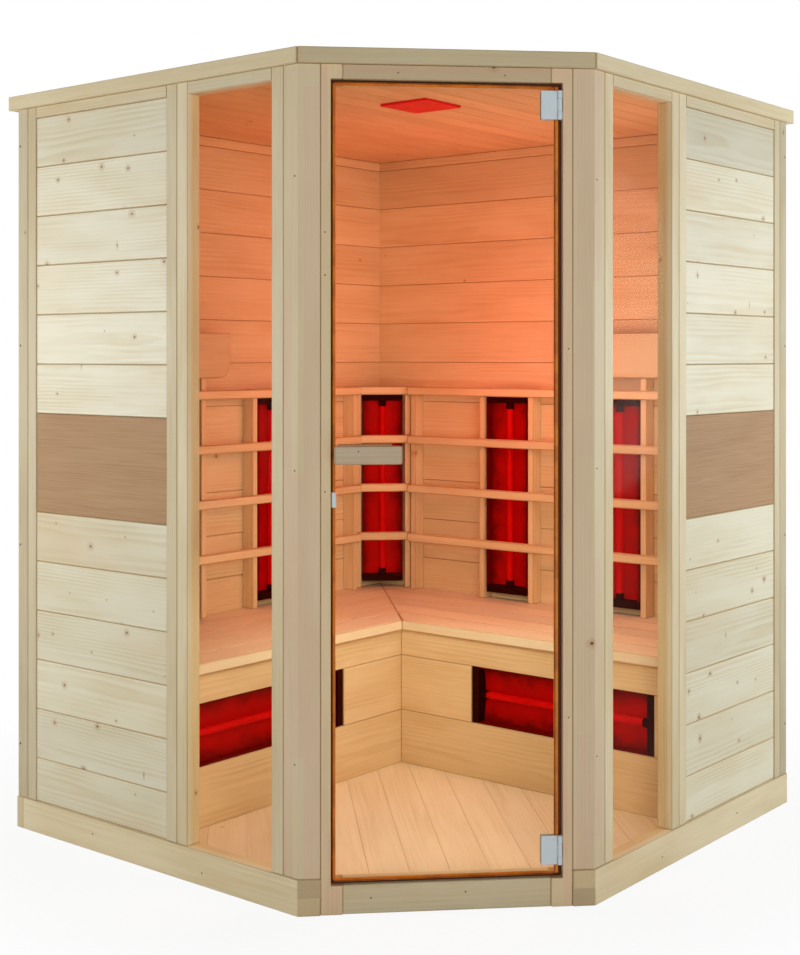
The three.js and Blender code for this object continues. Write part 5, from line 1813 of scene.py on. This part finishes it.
@dataclass
class Door:
    """Glass door with its hinges, handles and catch plate."""

    way: DoorWay
    corner: float = 8.0
    gap_latch: float = 4.0
    gap_top: float = 5.0
    gap_bottom: float = 6.0
    hinge_from_top: float = 44.0
    hinge_from_bottom: float = 55.0
    handle_length: float = 148.0
    handle_inner: float = 120.0
    handle_height: float = 40.0
    handle_thick: float = 18.0
    stand_off: float = 27.0
    handle_middle: float = 1008.0
    end_inset: float = 2.0
    foot: float = 9.0
    foot_spacing: float = 90.0
    catch_tall: float = 33.0
    catch_flange: float = 10.0
    catch_thick: float = 2.0

    @property
    def left(self) -> float:
        """Free edge of the glass."""
        return -self.way.half + self.gap_latch

    @property
    def low(self) -> float:
        """Lower edge of the glass."""
        return self.way.bottom + self.gap_bottom

    @property
    def high(self) -> float:
        """Upper edge of the glass."""
        return self.way.top - self.gap_top

    def hinges(self) -> list[Hinge]:
        """The upper and the lower hinge."""
        return [Hinge("hinge_upper", self.high - self.hinge_from_top, self.way),
                Hinge("hinge_lower", self.low + self.hinge_from_bottom, self.way)]

    def glass(self, right: float) -> None:
        """Pane with rounded corners and ground edges in amber, the glass's tint seen through its edge, with a faint
        painted glow of the red light inside.
        """
        piece = Piece("door_glass_pane", CABIN.door_place())
        corners = np.array([[self.left, self.low], [right, self.low], [right, self.high], [self.left, self.high]])
        piece.add(prism(corners, Axis.INWARD, self.way.glass_front, self.way.glass_back, 1.0, self.corner),
                  GLASS_EDGE, caps=DOOR_GLASS)
        piece.build(DOOR_BODY, DOOR_GLASS, "door_glass")

    def handle(self, name: str, length: float, foot: float, near: float, far: float) -> None:
        """Wooden bar on two round feet that stand on the glass.

        Args:
            name: CAD node that it stands for.
            length: Length of the bar.
            foot: Inward distance of the feet on the glass.
            near: Inward distance of the bar's side that faces the glass.
            far: Inward distance of its other side.
        """
        piece = Piece(f"{name}_bar", CABIN.door_place())
        middle = self.left + self.end_inset + self.handle_length / 2
        half, tall = length / 2, self.handle_height / 2
        corners = np.array([[middle - half, self.handle_middle - tall], [middle + half, self.handle_middle - tall],
                            [middle + half, self.handle_middle + tall], [middle - half, self.handle_middle + tall]])
        piece.add(prism(corners, Axis.INWARD, min(near, far), max(near, far), 2.6, 3.4), HANDLE_WOOD, Axis.ALONG, spread=0)
        for end in (-1, 1):
            at = (self.handle_middle, middle + end * self.foot_spacing / 2)
            piece.add(rod(at, self.foot, Axis.INWARD, min(foot, near), max(foot, near), 0.8), HANDLE_WOOD, Axis.INWARD)
        if far < near:
            screw(piece, (middle - half * 0.3, self.handle_middle + tall * 0.45), far, 1.6)
        piece.build(DOOR_BODY, HANDLE_WOOD, name)

    def catch(self) -> None:
        """Steel plate bent round the free edge, where the magnet holds it."""
        piece = Piece("catch_plate_metal", CABIN.door_place())
        low, high = self.way.catch_height - self.catch_tall / 2, self.way.catch_height + self.catch_tall / 2
        edge = self.left - CABIN.fit - self.catch_thick
        front = self.way.glass_front - CABIN.fit - self.catch_thick
        bent = np.array([
            [edge, front], [edge + self.catch_flange, front], [edge + self.catch_flange, front + self.catch_thick],
            [edge + self.catch_thick, front + self.catch_thick], [edge + self.catch_thick, self.way.glass_back],
            [edge, self.way.glass_back]])
        piece.add(prism(bent, Axis.UP, low, high, 0.5, np.array([2.0, 0.6, 0.6, 0.5, 0.6, 0.6])), HINGE_METAL)
        piece.build(DOOR_BODY, HINGE_METAL, "catch_plate")

    def build(self) -> None:
        """Builds the door and what hangs it."""
        hinges = self.hinges()
        for hinge in hinges:
            hinge.build()
        self.glass(hinges[0].clamp_edge - hinges[0].web - CABIN.fit)
        outside = self.way.glass_front - self.stand_off
        self.handle("handle_outside", self.handle_length, self.way.glass_front - CABIN.fit, outside,
                    outside - self.handle_thick)
        inside = self.way.glass_back + self.stand_off
        self.handle("handle_inside", self.handle_inner, self.way.glass_back + CABIN.fit, inside,
                    inside + self.handle_thick)
        self.catch()


class Bulb(Enum):
    """Kind of lamp: a soft disc that shines one way, or a soft ball that shines all round."""

    DISC = "AREA"
    BALL = "POINT"


@dataclass(frozen=True)
class Lamp:
    """A soft lamp of the studio or of the light inside, in metres."""

    name: str
    bulb: Bulb
    spot: Triple
    aim: Triple
    size: float
    watts: float
    colour: Triple = (1.0, 1.0, 1.0)
    sheen: bool = False

    def build(self) -> None:
        """Puts the lamp in place, turned to its aim and out of sight."""
        data = bpy.data.lights.new(self.name, self.bulb.value)
        if self.bulb is Bulb.DISC:
            data.shape = "DISK"
            data.size = self.size
        else:
            data.shadow_soft_size = self.size / 2
        data.energy = self.watts
        data.color = self.colour
        made = bpy.data.objects.new(self.name, data)
        bpy.context.scene.collection.objects.link(made)
        made.location = self.spot
        away = np.array(self.spot) - np.array(self.aim)
        flat = math.hypot(away[0], away[1])
        made.rotation_euler = (math.atan2(flat, away[2]), 0.0, math.atan2(away[0], -away[1]))
        made.visible_camera = False
        made.visible_glossy = self.sheen


@dataclass
class Studio:
    """Floor, white backdrop, lamps and the camera at the photograph's angle, in metres."""

    floor_reach: float = 30.0
    fade_start: float = 1.0
    fade_end: float = 1.7
    ambient: float = 0.15
    camera_spot: Triple = (-0.442, -4.13521, 1.225)
    camera_turn: float = -5.88
    lens: float = 56.25
    shift_y: float = -0.1277

    def seen(self, graph: Graph) -> Socket:
        """1 for rays that show the backdrop itself: the camera's, and those off gloss and through glass."""
        path = graph.node("LightPath", {}).outputs
        bounced = graph.math("MAXIMUM", path["Is Glossy Ray"], path["Is Transmission Ray"])
        return graph.math("MAXIMUM", path["Is Camera Ray"], bounced)

    def floor(self) -> None:
        """Pale floor that keeps the shadow near the cabin and fades to white away from it."""
        reach = self.floor_reach
        mesh = bpy.data.meshes.new("floor")
        mesh.from_pydata([(-reach, -reach, 0), (reach, -reach, 0), (reach, reach, 0), (-reach, reach, 0)], [],
                         [(0, 1, 2, 3)])
        graph = Graph("studio_floor")
        far = graph.node("VectorMath", {0: graph.place()}, operation="LENGTH").outputs["Value"]
        fade = graph.ramp(far, self.fade_start, self.fade_end, 0.9, 1.0)
        share = graph.math("MULTIPLY", fade, self.seen(graph))
        speckle = graph.noise(graph.stretched(graph.place(), (60.0, 60.0, 60.0)), 3.0)
        pale = graph.mix(speckle, linear("f2f1ef"), linear("ecebe8"))
        matt = graph.shader(Base_Color=pale, Roughness=0.9, Specular_IOR_Level=0.0)
        white = graph.node("Emission", {"Color": (1.0, 1.0, 1.0, 1.0), "Strength": 1.0}).outputs[0]
        mesh.materials.append(graph.done(graph.node("MixShader", {0: share, 1: matt, 2: white}).outputs[0]))
        made = bpy.data.objects.new("floor", mesh)
        bpy.context.scene.collection.objects.link(made)

    def backdrop(self) -> None:
        """White where it is seen, and a soft even light on the cabin."""
        world = bpy.data.worlds.new("studio")
        world.use_nodes = True
        bpy.context.scene.world = world
        graph = Graph.__new__(Graph)
        graph.tree = world.node_tree
        graph.tree.nodes.clear()
        strength = graph.math("MULTIPLY_ADD", self.seen(graph), 1.0 - self.ambient, self.ambient)
        light = graph.node("Background", {"Color": (1.0, 1.0, 1.0, 1.0), "Strength": strength}).outputs[0]
        graph.node("OutputWorld", {"Surface": light})

    def lamps(self) -> None:
        """Two soft studio lamps, and the red and warm light inside the cabin."""
        for lamp in (
            Lamp("key_right", Bulb.DISC, (2.6, -0.55, 1.3), (0.75, -0.45, 1.2), 1.4, 21.8, (0.96, 1.0, 1.03), True),
            Lamp("key_left", Bulb.DISC, (-2.65, -0.5, 1.3), (-0.75, -0.45, 1.2), 1.4, 20.2, sheen=True),
            Lamp("back", Bulb.BALL, (0.0, 4.6, 2.4), (0.0, 0.0, 0.0), 2.0, 200.0),
            Lamp("top", Bulb.BALL, (0.0, 0.6, 5.0), (0.0, 0.0, 0.0), 2.0, 250.0),
            Lamp("front", Bulb.BALL, (0.3, -5.0, 1.5), (0.0, 0.0, 0.0), 2.0, 258.0),
            Lamp("inside_red", Bulb.BALL, (0.12, 0.05, 1.25), (0.0, 0.0, 0.0), 0.4, 4.9, (1.0, 0.02, 0.01)),
            Lamp("inside_low", Bulb.DISC, (0.0, -0.6, 0.80), (0.0, 0.0, 0.1), 0.4, 3.1, (0.84, 1.0, 0.92)),
            Lamp("inside_right", Bulb.BALL, (0.45, -0.3, 1.25), (0.0, 0.0, 0.0), 0.4, 5.0, (0.95, 0.97, 1.0)),
        ):
            lamp.build()

    def camera(self) -> None:
        """Level camera to the left of the door, with its shift for the photograph's framing."""
        data = bpy.data.cameras.new("camera")
        data.lens = self.lens
        data.sensor_width = 36.0
        data.shift_y = self.shift_y
        made = bpy.data.objects.new("camera", data)
        bpy.context.scene.collection.objects.link(made)
        made.location = self.camera_spot
        made.rotation_euler = (math.pi / 2, 0.0, math.radians(self.camera_turn))
        bpy.context.scene.camera = made

    def build(self) -> None:
        """Builds the studio."""
        bpy.context.scene.view_settings.view_transform = "Standard"
        self.camera()
        self.floor()
        self.backdrop()
        self.lamps()


def main() -> None:
    """Builds the studio and the cabin, sub-assembly by sub-assembly."""
    logging.basicConfig(level=logging.INFO, format="%(name)s: %(message)s")
    Studio().build()
    Base().build()
    for side in Side:
        SideWall(side).build()
        BackWall(side).build()
    Backrests().build()
    Roof().build()
    ControlUnit().build()
    way = DoorWay()
    way.build()
    Door(way).build()


if __name__ == "__main__":
    main()
